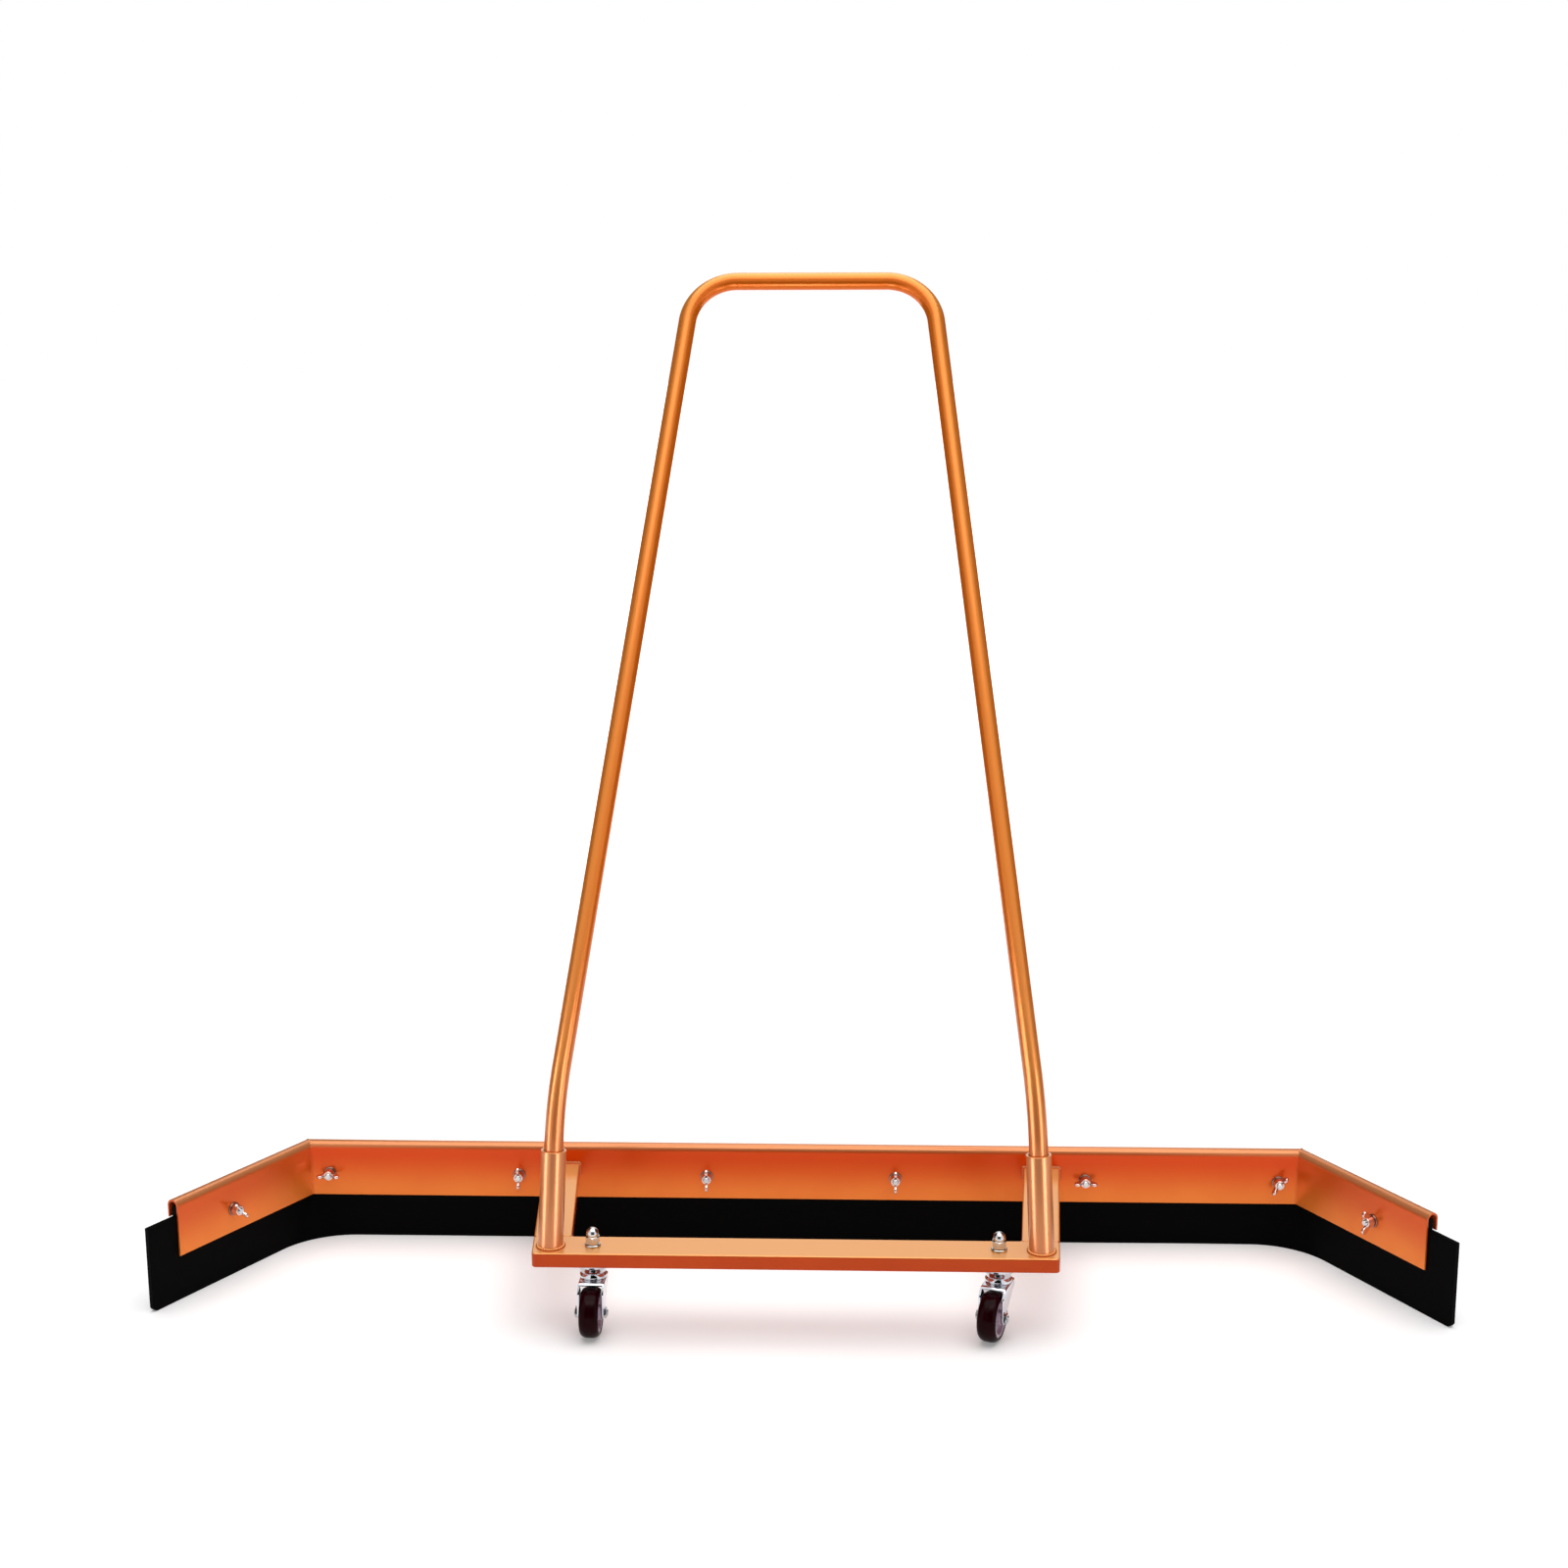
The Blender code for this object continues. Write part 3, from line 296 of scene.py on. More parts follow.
def soft_box(width, height, corner, steps=5):
    """Outline of a rectangle round (0, 0) with round corners."""
    x, y = width / 2, height / 2
    return soften([(-x, -y, corner), (x, -y, corner), (x, y, corner), (-x, y, corner)], steps=steps)


def soft_ends(low, high, edge, steps):
    """Where the loops of a bar from low to high go if its end edges are round: (place, inset)."""
    turn = [pi / 2 * i / steps for i in range(steps + 1)]
    levels = [(edge * (1 - cos(angle)), edge * (1 - sin(angle))) for angle in turn]
    return ([(low + along, inset) for along, inset in levels]
            + [(high - along, inset) for along, inset in reversed(levels)])


# %% Skinning loops of points
def smooth_faces(mesh, sharp=40.0):
    """Shades the faces smooth, but for edges sharper than so many degrees."""
    mesh.shade_smooth()
    mesh.set_sharp_from_angle(angle=radians(sharp))


def skin(name, loops, ring=False, caps=True):
    """A mesh through loops of the same count. A ring joins the last to the first; caps fill the ends.
    Its doubles are merged and its faces turned outwards."""
    bm = bmesh.new()
    rows = [[bm.verts.new(point) for point in loop] for loop in loops]
    pairs = list(zip(rows, rows[1:]))
    if ring:
        pairs.append((rows[-1], rows[0]))
    for near, far in pairs:
        for i in range(len(near)):
            j = (i + 1) % len(near)
            bm.faces.new((near[i], near[j], far[j], far[i]))
    if caps and not ring:
        bm.faces.new(rows[0])
        bm.faces.new(list(reversed(rows[-1])))
    bmesh.ops.remove_doubles(bm, verts=bm.verts, dist=1e-7)
    bmesh.ops.recalc_face_normals(bm, faces=bm.faces)
    mesh = bpy.data.meshes.new(name)
    bm.to_mesh(mesh)
    bm.free()
    smooth_faces(mesh, 35.0)
    return mesh


def turned(name, levels, steps=64, ring=False):
    """Skins levels round Z. A level is (radius, height), or a function of the angle that gives it."""
    loops = []
    for level in levels:
        loop = []
        for i in range(steps):
            angle = 2 * pi * i / steps
            radius, height = level(angle) if callable(level) else level
            loop.append((radius * cos(angle), radius * sin(angle), height))
        loops.append(loop)
    return skin(name, loops, ring=ring, caps=False)


def round_bar(radius, low, high):
    """A plain bar on Z, to bore with."""
    return turned("bar", [(0.0, low), (radius, low), (radius, high), (0.0, high)], steps=32)


# %% Placing pieces
def add_object(name, data):
    """Puts a mesh, a lamp or a camera into the scene."""
    item = bpy.data.objects.new(name, data)
    scene.collection.objects.link(item)
    return item


def show(name, mesh, material, body="root", nodes=(), flat=False):
    """Shows a mesh as a piece that rides on a body and stands for its nodes. Where it is flat, its
    normals are weighted by face area, so that a round edge doesn't shade the flat beside it."""
    piece = add_object(name, mesh)
    mesh.materials.clear()
    mesh.materials.append(material)
    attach(piece, body)
    if nodes:
        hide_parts(*nodes)
    if flat:
        piece.modifiers.new("weighted normals", "WEIGHTED_NORMAL").keep_sharp = True
    size = " x ".join("%.1f" % (length / MM) for length in piece.dimensions)
    print(name, "rides on", body, "with", len(mesh.polygons), "faces, in mm", size)


def baked(mesh, add_modifiers):
    """Runs modifiers on a mesh and returns the plain result."""
    holder = add_object(mesh.name, mesh)
    tools = add_modifiers(holder) or []
    bpy.context.view_layer.update()
    shape = holder.evaluated_get(bpy.context.evaluated_depsgraph_get())
    result = bpy.data.meshes.new_from_object(shape)
    for old in (holder, *tools):
        bpy.data.objects.remove(old, do_unlink=True)
    return result


def add_boolean(holder, mesh, operation):
    """A Boolean on the holder, and the tool that it uses."""
    tool = add_object(holder.name + "_tool", mesh)
    modifier = holder.modifiers.new(operation, "BOOLEAN")
    modifier.operation = operation
    modifier.object = tool
    modifier.solver = "EXACT"
    return tool


def add_bevel(holder, width, segments, sharp):
    """Rounds every edge of the holder that is sharper than so many degrees."""
    bevel = holder.modifiers.new("worn edges", "BEVEL")
    bevel.width = width
    bevel.segments = segments
    bevel.limit_method = "ANGLE"
    bevel.angle_limit = radians(sharp)


print("shape tools ready")

# %% [markdown]
# ## Geometry Nodes from a script
#
# A tree is a recipe with named inputs. Here every tree takes a mesh in, works on it, and ends in
# Realize Instances and Set Material, so that a plain mesh comes out. The modifier is only there while
# the mesh is read.


# %% Starting and running a tree
def start_tree(name, inputs):
    """A Geometry Nodes tree with a mesh in, a mesh out and named inputs of the given kinds."""
    tree = bpy.data.node_groups.new(name, "GeometryNodeTree")
    tree.interface.new_socket("Geometry", in_out="INPUT", socket_type="NodeSocketGeometry")
    for label, kind in inputs.items():
        tree.interface.new_socket(label, in_out="INPUT", socket_type="NodeSocket" + kind)
    tree.interface.new_socket("Geometry", in_out="OUTPUT", socket_type="NodeSocketGeometry")
    return tree, add_node(tree, "NodeGroupInput").outputs


def end_tree(tree, geometry, material):
    """Ends a tree: shade smooth, real geometry, and its material."""
    smooth = add_node(tree, "GeometryNodeSetShadeSmooth", {"Geometry": geometry})
    real = add_node(tree, "GeometryNodeRealizeInstances", {"Geometry": smooth})
    painted = add_node(tree, "GeometryNodeSetMaterial", {"Geometry": real, "Material": material})
    add_node(tree, "NodeGroupOutput", {"Geometry": painted})


def run_tree(tree, mesh, values):
    """Runs a tree on a mesh with its inputs set by identifier, and returns a plain mesh."""
    def add_tree(holder):
        modifier = holder.modifiers.new(tree.name, "NODES")
        modifier.node_group = tree
        for item in tree.interface.items_tree:
            if item.item_type == "SOCKET" and item.in_out == "INPUT" and item.name in values:
                modifier[item.identifier] = values[item.name]
    return baked(mesh, add_tree)


def line_mesh(name, points, closed=False):
    """A mesh of points joined by edges, for a tree to follow."""
    edges = [(i, i + 1) for i in range(len(points) - 1)]
    if closed:
        edges.append((len(points) - 1, 0))
    mesh = bpy.data.meshes.new(name)
    mesh.from_pydata([tuple(point) for point in points], edges, [])
    return mesh


print("tree tools ready")

# %% [markdown]
# ## Push handle
#
# The real handle is one 19 mm tube with four bends, one above each socket and one at each top corner:
# a tall U. A tube is the simplest case of a shape that follows a rule, so Geometry Nodes make it: a
# line through the bend points, a fillet at each bend with its own radius, and a circle swept along it.
# Solidify gives it its wall.

# %% Handle tube
HANDLE_RADIUS = 9.5 * MM
HANDLE_WALL = 1.5 * MM
HANDLE_BEND_RADIUS = 190.0 * MM
HANDLE_TOP_RADIUS = 54.0 * MM
HANDLE_FOOT_CLEAR = 6.0 * MM
HANDLE_BEND_Z = 230.0 * MM
SOCKET_RADIUS = 12.5 * MM
SOCKET_WALL = 2.5 * MM
BAR_FRONT = bar_low.y
BAR_TOP = bar_high.z
SOCKET_FOOT = Vector((242.8 * MM, BAR_FRONT + 19.5 * MM, BAR_TOP))
SOCKET_HEAD = Vector((238.6 * MM, BAR_FRONT + 29.5 * MM, 184.0 * MM))
HANDLE_TOP = Vector((129.0 * MM, BAR_FRONT + 465.5 * MM, 1014.0 * MM))
# the bent tube isn't quite even: its top sits a little to the right of the frame's middle
HANDLE_SWAY = Vector((8.0 * MM, 0.0, 0.0))
SOCKET_AXIS = (SOCKET_HEAD - SOCKET_FOOT).normalized()


def handle_tree():
    """Tube along a line whose points carry their own bend radius."""
    sizes = {"Tube Radius": "Float", "Bend Steps": "Int", "Sides": "Int", "Material": "Material"}
    tree, given = start_tree("bent_tube", sizes)
    bend = add_node(tree, "GeometryNodeInputNamedAttribute", {"Name": "bend_radius"}, data_type="FLOAT")
    line = add_node(tree, "GeometryNodeMeshToCurve", {"Mesh": given["Geometry"]})
    corners = {"Curve": line, "Count": given["Bend Steps"], "Radius": bend.outputs["Attribute"]}
    fillet = add_node(tree, "GeometryNodeFilletCurve", corners, mode="POLY")
    circle = add_node(tree, "GeometryNodeCurvePrimitiveCircle",
                      {"Resolution": given["Sides"], "Radius": given["Tube Radius"]})
    tube = add_node(tree, "GeometryNodeCurveToMesh", {"Curve": fillet, "Profile Curve": circle})
    end_tree(tree, tube, given["Material"])
    return tree


right_leg = [SOCKET_FOOT + SOCKET_AXIS * HANDLE_FOOT_CLEAR,
             SOCKET_FOOT + SOCKET_AXIS * ((HANDLE_BEND_Z - SOCKET_FOOT.z) / SOCKET_AXIS.z),
             HANDLE_TOP]
left_leg = [Vector((-point.x, point.y, point.z)) for point in reversed(right_leg)]
right_leg[-1] += HANDLE_SWAY
left_leg[0] += HANDLE_SWAY
handle_line = line_mesh("handle_line", right_leg + left_leg)
bends = handle_line.attributes.new("bend_radius", "FLOAT", "POINT")
bend_radii = (0.0, HANDLE_BEND_RADIUS, HANDLE_TOP_RADIUS, HANDLE_TOP_RADIUS, HANDLE_BEND_RADIUS, 0.0)
bends.data.foreach_set("value", bend_radii)

tube_values = {"Tube Radius": HANDLE_RADIUS, "Bend Steps": 28, "Sides": 48, "Material": HANDLE_POWDER}


def add_wall(holder):
    """Gives the swept tube its wall, inwards."""
    wall = holder.modifiers.new("wall", "SOLIDIFY")
    wall.thickness = HANDLE_WALL
    wall.offset = -1.0


handle_mesh = baked(run_tree(handle_tree(), handle_line, tube_values), add_wall)
show("push_handle_tube", handle_mesh, HANDLE_POWDER, nodes=["push_handle"])

# %% [markdown]
# ## Handle sockets
#
# Two short tubes stand on the crossbar and take the handle's feet. They lean back, and a little
# towards each other. The lowest level of each is cut to the bar's top face: its height depends on the
# angle round the tube, so that level is a function and not a number.

# %% Handle sockets
SOCKET_RIM = 0.7 * MM
SOCKET_BORE = SOCKET_RADIUS - SOCKET_WALL


def cut_level(radius, lean):
    """A level at this radius that lies in the plane of the bar's top face."""
    def level(angle):
        across = lean[2][0] * radius * cos(angle) + lean[2][1] * radius * sin(angle)
        return radius, -across / lean[2][2]
    return level


def socket_mesh(side):
    """A tube made on Z and stood on the line from foot to head."""
    foot = Vector((side * SOCKET_FOOT.x, SOCKET_FOOT.y, SOCKET_FOOT.z + GAP))
    head = Vector((side * SOCKET_HEAD.x, SOCKET_HEAD.y, SOCKET_HEAD.z))
    lean = Vector((0, 0, 1)).rotation_difference(head - foot).to_matrix().to_4x4()
    lean.translation = foot
    length = (head - foot).length
    rim = soften([(SOCKET_RADIUS, 0.0), (SOCKET_RADIUS, length, SOCKET_RIM),
                  (SOCKET_BORE, length, SOCKET_RIM), (SOCKET_BORE, 0.0)], closed=False)
    levels = [cut_level(SOCKET_RADIUS, lean), *rim[1:-1], cut_level(SOCKET_BORE, lean)]
    mesh = turned("socket", levels, steps=72, ring=True)
    mesh.transform(lean)
    return mesh


for side, word in SIDES:
    show(word + "_socket_tube", socket_mesh(side), SOCKET_POWDER, nodes=[word + "_handle_socket"])

# %% [markdown]
# ## Frame: crossbar and side arms
#
# The frame is flat rectangular tube. Its corners are not sharp: the mill leaves a radius about as
# large as the wall is thick, and the powder rounds it a little more. Edges that catch light like this
# are what makes a bar look like steel. They are drawn into the outlines here, because one bevel would
# give every edge the same radius.

# %% Crossbar
BAR_CORNER = 4.0 * MM
BAR_EDGE = 1.6 * MM
BAR_LENGTH = 519.0 * MM
ARM_WIDTH = 38.0 * MM
SLANT = (bar_high.x - BAR_LENGTH / 2) / (bar_high.y - bar_low.y)


def crossbar_mesh():
    """Closed-ended bar: its plan outline shrinks towards the top and bottom faces. Its ends are sawn
    at the angle of the side arms, so that the frame's sides run straight through to its front."""
    size = bar_high - bar_low
    middle = (bar_high + bar_low) / 2
    loops = []
    for z, inset in soft_ends(bar_low.z, bar_high.z, BAR_EDGE, 6):
        outline = soft_box(BAR_LENGTH - 2 * inset, size.y - 2 * inset, BAR_CORNER - inset, steps=8)
        loops.append([(x + copysign(SLANT * (y + size.y / 2), x), middle.y + y, z) for x, y in outline])
    return skin("crossbar", loops)


show("crossbar_tube", crossbar_mesh(), POWDER, nodes=["front_crossbar"], flat=True)

# %% Side arms
ARM_CORNER = 2.2 * MM


def arm_ends(side, word):
    """Middle of the arm's section where it meets the crossbar and where it meets the rail."""
    low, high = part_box(word + "_side_arm")
    inner, outer = sorted((low.x, high.x), key=abs)
    height = (low.z + high.z) / 2
    start = Vector((inner + side * ARM_WIDTH / 2, bar_high.y, height))
    end = Vector((outer - side * ARM_WIDTH / 2, RAIL_FRONT, height))
    return start, end


def arm_mesh(side, word):
    outline = soft_box(ARM_WIDTH, bar_high.z - bar_low.z, ARM_CORNER, steps=6)
    loops = [[place + Vector((x, 0, z)) for x, z in outline] for place in arm_ends(side, word)]
    return skin("side_arm", loops)


for side, word in SIDES:
    show(word + "_arm_tube", arm_mesh(side, word), POWDER, nodes=[word + "_side_arm"], flat=True)

# %% [markdown]
# ## Blade rails
#
# Each rail is 2 mm sheet: a flat face, with its top edge rolled back into a hook that makes it stiff.
# The three lengths meet at mitres, so one section serves for all, and only the planes that it ends in
# differ. The round stretch is an arc, the sheet's cut edges are softened, and each rail is drilled
# for its bolts.

# %% Rail section
ROLL_STEPS = 26
SHEET_EDGE = 0.45 * MM


def rail_section():
    """Points of (depth behind the front face, height) round the sheet."""
    centre = (ROLL_RADIUS, RAIL_TOP - ROLL_RADIUS)
    back = 2 * ROLL_RADIUS
    lip = RAIL_TOP - LIP_DROP
    corners = [(SHEET, RAIL_BOTTOM, SHEET_EDGE), (0.0, RAIL_BOTTOM, SHEET_EDGE)]
    corners += arc(centre, ROLL_RADIUS, pi, 0.0, ROLL_STEPS)
    corners += [(back, lip, SHEET_EDGE), (back - SHEET, lip, SHEET_EDGE)]
    corners += arc(centre, ROLL_RADIUS - SHEET, 0.0, pi, ROLL_STEPS)
    return soften(corners, steps=4)


print("rail section has", len(rail_section()), "points")

# %% Bolt places
M6_RADIUS = 3.0 * MM
M6_HOLE = 3.4 * MM
WASHER_RADIUS = 7.0 * MM
WASHER_THICKNESS = 1.6 * MM


def bolt_frame(number):
    """A frame on the rail's face at a bolt: Z points to the front, Y up. Its joint gives both."""
    joint = joints["wing_nut_%d_turn" % number]
    front = Vector(joint["axis"]).normalized()
    up = Vector((0, 0, 1))
    along = up.cross(front)
    place = Vector(joint["pos_m"])
    # the rails' corner lies on the faces of both the rails that meet there
    corner = wing_place(1 if place.x > 0 else -1, 0.0, 0.0, place.z)
    matrix = Matrix((along, up, front)).transposed().to_4x4()
    matrix.translation = place - front * (place - corner).dot(front)
    return matrix


BOLT_FRAMES = [bolt_frame(number) for number in range(1, 9)]
for number, place in enumerate(BOLT_FRAMES, 1):
    print("bolt", number, "at mm", [round(value / MM, 1) for value in place.translation])


# %% Rails
def show_drilled(name, loops, frames, depth, material, node):
    """Shows a skin through loops with a hole cut at each bolt and its cut edges bevelled."""
    drill = bmesh.new()
    for place in frames:
        bar = round_bar(M6_HOLE, -depth, 4 * MM)
        bar.transform(place)
        drill.from_mesh(bar)
    drill_mesh = bpy.data.meshes.new("drill")
    drill.to_mesh(drill_mesh)
    drill.free()

    def add_holes(holder):
        tool = add_boolean(holder, drill_mesh, "DIFFERENCE")
        add_bevel(holder, 0.25 * MM, 2, 60.0)
        return [tool]

    mesh = baked(skin(name, loops), add_holes)
    smooth_faces(mesh)
    show(name, mesh, material, nodes=[node], flat=True)


BOLTS = {"left": BOLT_FRAMES[:1], "centre": BOLT_FRAMES[1:-1], "right": BOLT_FRAMES[-1:]}
RAIL_DRILL = 6.0 * MM
RAIL_SECTION = rail_section()

loops = [[centre_place(side * (CENTRE_HALF + depth * MITRE), depth, height)
          for depth, height in RAIL_SECTION] for side in (-1, 1)]
show_drilled("centre_rail_sheet", loops, BOLTS["centre"], RAIL_DRILL, RAIL_POWDER, "centre_blade_rail")
for side, word in SIDES:
    loops = [[wing_place(side, -depth * MITRE, depth, height) for depth, height in RAIL_SECTION],
             [wing_place(side, WING_LENGTH, depth, height) for depth, height in RAIL_SECTION]]
    show_drilled(word + "_wing_sheet", loops, BOLTS[word], RAIL_DRILL, WING_POWDER, word + "_wing_rail")

# %% [markdown]
# ## Rubber blade
#
# The blade is one 6 mm strip of sheet rubber behind all three rails. It reaches up into their rolled
# edge, and is cut lower where it stands out past their ends. Against the steel it is creased round the
# corner as tightly as the steel is. Below the rail it is free, and bends in a wide curve.
# A free edge of rubber is never quite straight either, so the lower part waves by half a millimetre.

# %% Blade
BLADE_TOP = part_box("rubber_blade")[1].z
BLADE_END_TOP = 90.5 * MM
BLADE_STEP = 0.5 * MM
BLADE_THICKNESS = 6.0 * MM
BLADE_DEPTH = SHEET + GAP
BLADE_TIP = WING_LENGTH + 37.0 * MM
BLADE_CORNER = 6.0 * MM
BLADE_EDGE = 0.7 * MM
FLEX_RADIUS = 85.0 * MM
TIGHT_RADIUS = 1.5 * MM
FREE_HEIGHT = RAIL_BOTTOM - GAP
WAVE = 0.5 * MM
WAVE_LONG, WAVE_SHORT = 370 * MM, 210 * MM
BLADE_DRILL = 12.0 * MM
CENTRE_STEPS, BEND_STEPS, WING_STEPS, TIP_STEPS, CORNER_STEPS = 24, 24, 10, 4, 12


def freeness(height):
    """1 at the floor, 0 where the rail holds the rubber."""
    return max(0.0, 1.0 - height / FREE_HEIGHT)


def bend_place(fraction):
    """A column of the blade in the bend, as a function of height and depth."""
    def place(height, depth):
        radius = TIGHT_RADIUS + FLEX_RADIUS * freeness(height) ** 1.5
        centre_x = CENTRE_HALF + (BLADE_DEPTH - radius) * MITRE
        centre_y = RAIL_FRONT + BLADE_DEPTH - radius
        angle = WING_ANGLE * fraction
        reach = radius + depth
        return Vector((centre_x + reach * sin(angle), centre_y + reach * cos(angle), height))
    return place


def wing_column(along):
    """A column of the blade on the straight part of the wing."""
    return lambda height, depth: wing_place(1, along, BLADE_DEPTH + depth, height)


def centre_column(share):
    """A column on the centre length, at a share of the way from the middle to the bend."""
    def place(height, depth):
        edge = bend_place(0.0)(height, depth)
        return Vector((edge.x * share, edge.y, height))
    return place


def blade_columns():
    """Columns of the right half: a place, its upper edge, the lift of its lower corner, its inset."""
    places = [centre_column(i / CENTRE_STEPS) for i in range(CENTRE_STEPS)]
    places += [bend_place(i / BEND_STEPS) for i in range(BEND_STEPS + 1)]
    start = FLEX_RADIUS * MITRE + 4 * MM
    run = WING_LENGTH - BLADE_STEP - start
    places += [wing_column(start + run * i / WING_STEPS) for i in range(WING_STEPS + 1)]
    columns = [(place, BLADE_TOP, 0.0, 0.0) for place in places]
    run = BLADE_TIP - BLADE_CORNER - WING_LENGTH
    places = [wing_column(WING_LENGTH + run * i / TIP_STEPS) for i in range(TIP_STEPS + 1)]
    columns += [(place, BLADE_END_TOP, 0.0, 0.0) for place in places]
    for i in range(1, CORNER_STEPS + 1):
        angle = pi / 2 * i / CORNER_STEPS
        back = BLADE_CORNER * (1 - sin(angle))
        lift = BLADE_CORNER * (1 - cos(angle))
        inset = 0.0
        if back < BLADE_EDGE:
            inset = BLADE_EDGE - sqrt(max(0.0, BLADE_EDGE ** 2 - (BLADE_EDGE - back) ** 2))
        columns.append((wing_column(BLADE_TIP - back), BLADE_END_TOP, lift, inset))
    return columns


def blade_section(top, lift, inset):
    """Points of (height, depth) round the strip, with soft edges."""
    low, high = lift, top - inset
    near, far = inset, BLADE_THICKNESS - inset
    soft = BLADE_EDGE * 0.98 - inset * 0.98 + 0.01 * MM
    corners = [(low, near, soft), (high, near, soft), (high, far, soft), (low, far, soft)]
    outline = soften(corners, steps=4)
    middle = len(outline) // 4
    front = [(low + soft + (high - low - 2 * soft) * i / 9, near) for i in range(1, 9)]
    back = [(height, far) for height, _ in reversed(front)]
    return outline[:middle] + front + outline[middle:3 * middle] + back + outline[3 * middle:]


def waved(point, height):
    """Moves a point of the free edge back or forth by a smooth, fixed wave along X."""
    sway = sin(point.x * 2 * pi / WAVE_LONG + 0.6) + 0.6 * sin(point.x * 2 * pi / WAVE_SHORT + 2.0)
    return Vector((point.x, point.y + WAVE * sway / 1.6 * freeness(height) ** 2, point.z))


def blade_loops():
    right = blade_columns()
    columns = [(-1, *column) for column in reversed(right[1:])] + [(1, *column) for column in right]
    loops = []
    for side, place, top, lift, inset in columns:
        loop = []
        for height, depth in blade_section(top, lift, inset):
            point = place(height, depth)
            loop.append(waved(Vector((side * point.x, point.y, point.z)), height))
        loops.append(loop)
    return loops


show_drilled("rubber_blade_strip", blade_loops(), BOLT_FRAMES, BLADE_DRILL, RUBBER, "rubber_blade")

# %% [markdown]
# ## Clamp strips
#
# Behind the rubber, a 25 by 3 mm zinc-plated flat bar on each length spreads the bolts' pull, so that
# their heads don't tear through. Flat bar is rolled, so its long edges are soft. The three differ only
# in the line that they follow, so that line is handed to one function.

# %% Clamp strips
STRIP_WIDTH = 25.0 * MM
STRIP_THICKNESS = 3.0 * MM
STRIP_DEPTH = BLADE_DEPTH + BLADE_THICKNESS + GAP
STRIP_EDGE = 0.6 * MM
STRIP_CENTRE_HALF = 524.0 * MM
STRIP_WING_ENDS = (8.0 * MM, 184.0 * MM)
STRIP_DRILL = 16.0 * MM
BOLT_Z = BOLT_FRAMES[1].translation.z


def strip_loops(place_at, ends):
    """Loops along a strip between two ends, with the ends' corners softened too."""
    loops = []
    for along, inset in soft_ends(*ends, STRIP_EDGE, 3):
        outline = soft_box(STRIP_THICKNESS - 2 * inset, STRIP_WIDTH - 2 * inset,
                           max(STRIP_EDGE - inset, 0.02 * MM), steps=4)
        loops.append([place_at(along, STRIP_DEPTH + STRIP_THICKNESS / 2 + depth, BOLT_Z + z)
                      for depth, z in outline])
    return loops


STRIP_PLACES = {"centre": (centre_place, (-STRIP_CENTRE_HALF, STRIP_CENTRE_HALF))}
for side, word in SIDES:
    STRIP_PLACES[word] = (partial(wing_place, side), STRIP_WING_ENDS)
for word, (place_at, ends) in STRIP_PLACES.items():
    show_drilled(word + "_strip_bar", strip_loops(place_at, ends), BOLTS[word], STRIP_DRILL, ZINC,
                 word + "_clamp_strip")

# %% [markdown]
# ## Weld beads
#
# The frame is welded before it is coated, so the beads are orange too. A bead is a thick line with
# ripples, each ripple one step of the welder's hand. That is a path with a rule: Geometry Nodes
# resample the line finely and let the swept circle breathe along its length.

# %% Bead tree
RIPPLE = 2.6 * MM
RIPPLE_DEPTH = 0.14
RIPPLE_STEPS = 8.0
BEAD_SIDES = 14


def bead_tree():
    """A rippled bead along a line, closed at its ends."""
    sizes = {"Bead Radius": "Float", "Ripple": "Float", "Depth": "Float", "Material": "Material"}
    tree, given = start_tree("weld_bead", sizes)
    step = add_node(tree, "ShaderNodeMath", {0: given["Ripple"], 1: RIPPLE_STEPS}, operation="DIVIDE")
    line = add_node(tree, "GeometryNodeMeshToCurve", {"Mesh": given["Geometry"]})
    fine = add_node(tree, "GeometryNodeResampleCurve", {"Curve": line, "Length": step}, mode="LENGTH")
    along = add_node(tree, "GeometryNodeSplineParameter")
    turns = add_node(tree, "ShaderNodeMath", {0: along.outputs["Length"], 1: given["Ripple"]},
                     operation="DIVIDE")
    angle = add_node(tree, "ShaderNodeMath", {0: turns, 1: 2 * pi}, operation="MULTIPLY")
    wave = add_node(tree, "ShaderNodeMath", {0: angle}, operation="SINE")
    breath = {0: wave, 1: given["Depth"], 2: 1.0}
    breath = add_node(tree, "ShaderNodeMath", breath, operation="MULTIPLY_ADD")
    circle = add_node(tree, "GeometryNodeCurvePrimitiveCircle",
                      {"Resolution": BEAD_SIDES, "Radius": given["Bead Radius"]})
    swept = {"Curve": fine, "Profile Curve": circle, "Scale": breath, "Fill Caps": True}
    end_tree(tree, add_node(tree, "GeometryNodeCurveToMesh", swept), given["Material"])
    return tree


BEAD_TREE = bead_tree()


def weld(name, points, radius, finish=POWDER, closed=False):
    """Lays one bead along the points and leaves it on the root body."""
    values = {"Bead Radius": radius, "Ripple": RIPPLE, "Depth": RIPPLE_DEPTH, "Material": finish}
    show(name, run_tree(BEAD_TREE, line_mesh(name, points, closed), values), finish)


# %% Beads round the sockets
SOCKET_BEAD = 1.7 * MM
SOCKET_BEAD_OUT = 0.4 * MM
RING_STEPS = 48


def socket_ring(side):
    """The closed line where a leaning socket meets the bar's top face."""
    points = []
    for i in range(RING_STEPS):
        angle = 2 * pi * i / RING_STEPS
        reach = SOCKET_RADIUS + SOCKET_BEAD_OUT
        x = SOCKET_FOOT.x + reach * cos(angle)
        y = SOCKET_FOOT.y + reach * sin(angle) / SOCKET_AXIS.z
        points.append((side * x, y, BAR_TOP + GAP))
    return points


for side, word in SIDES:
    weld(word + "_socket_weld", socket_ring(side), SOCKET_BEAD, closed=True)

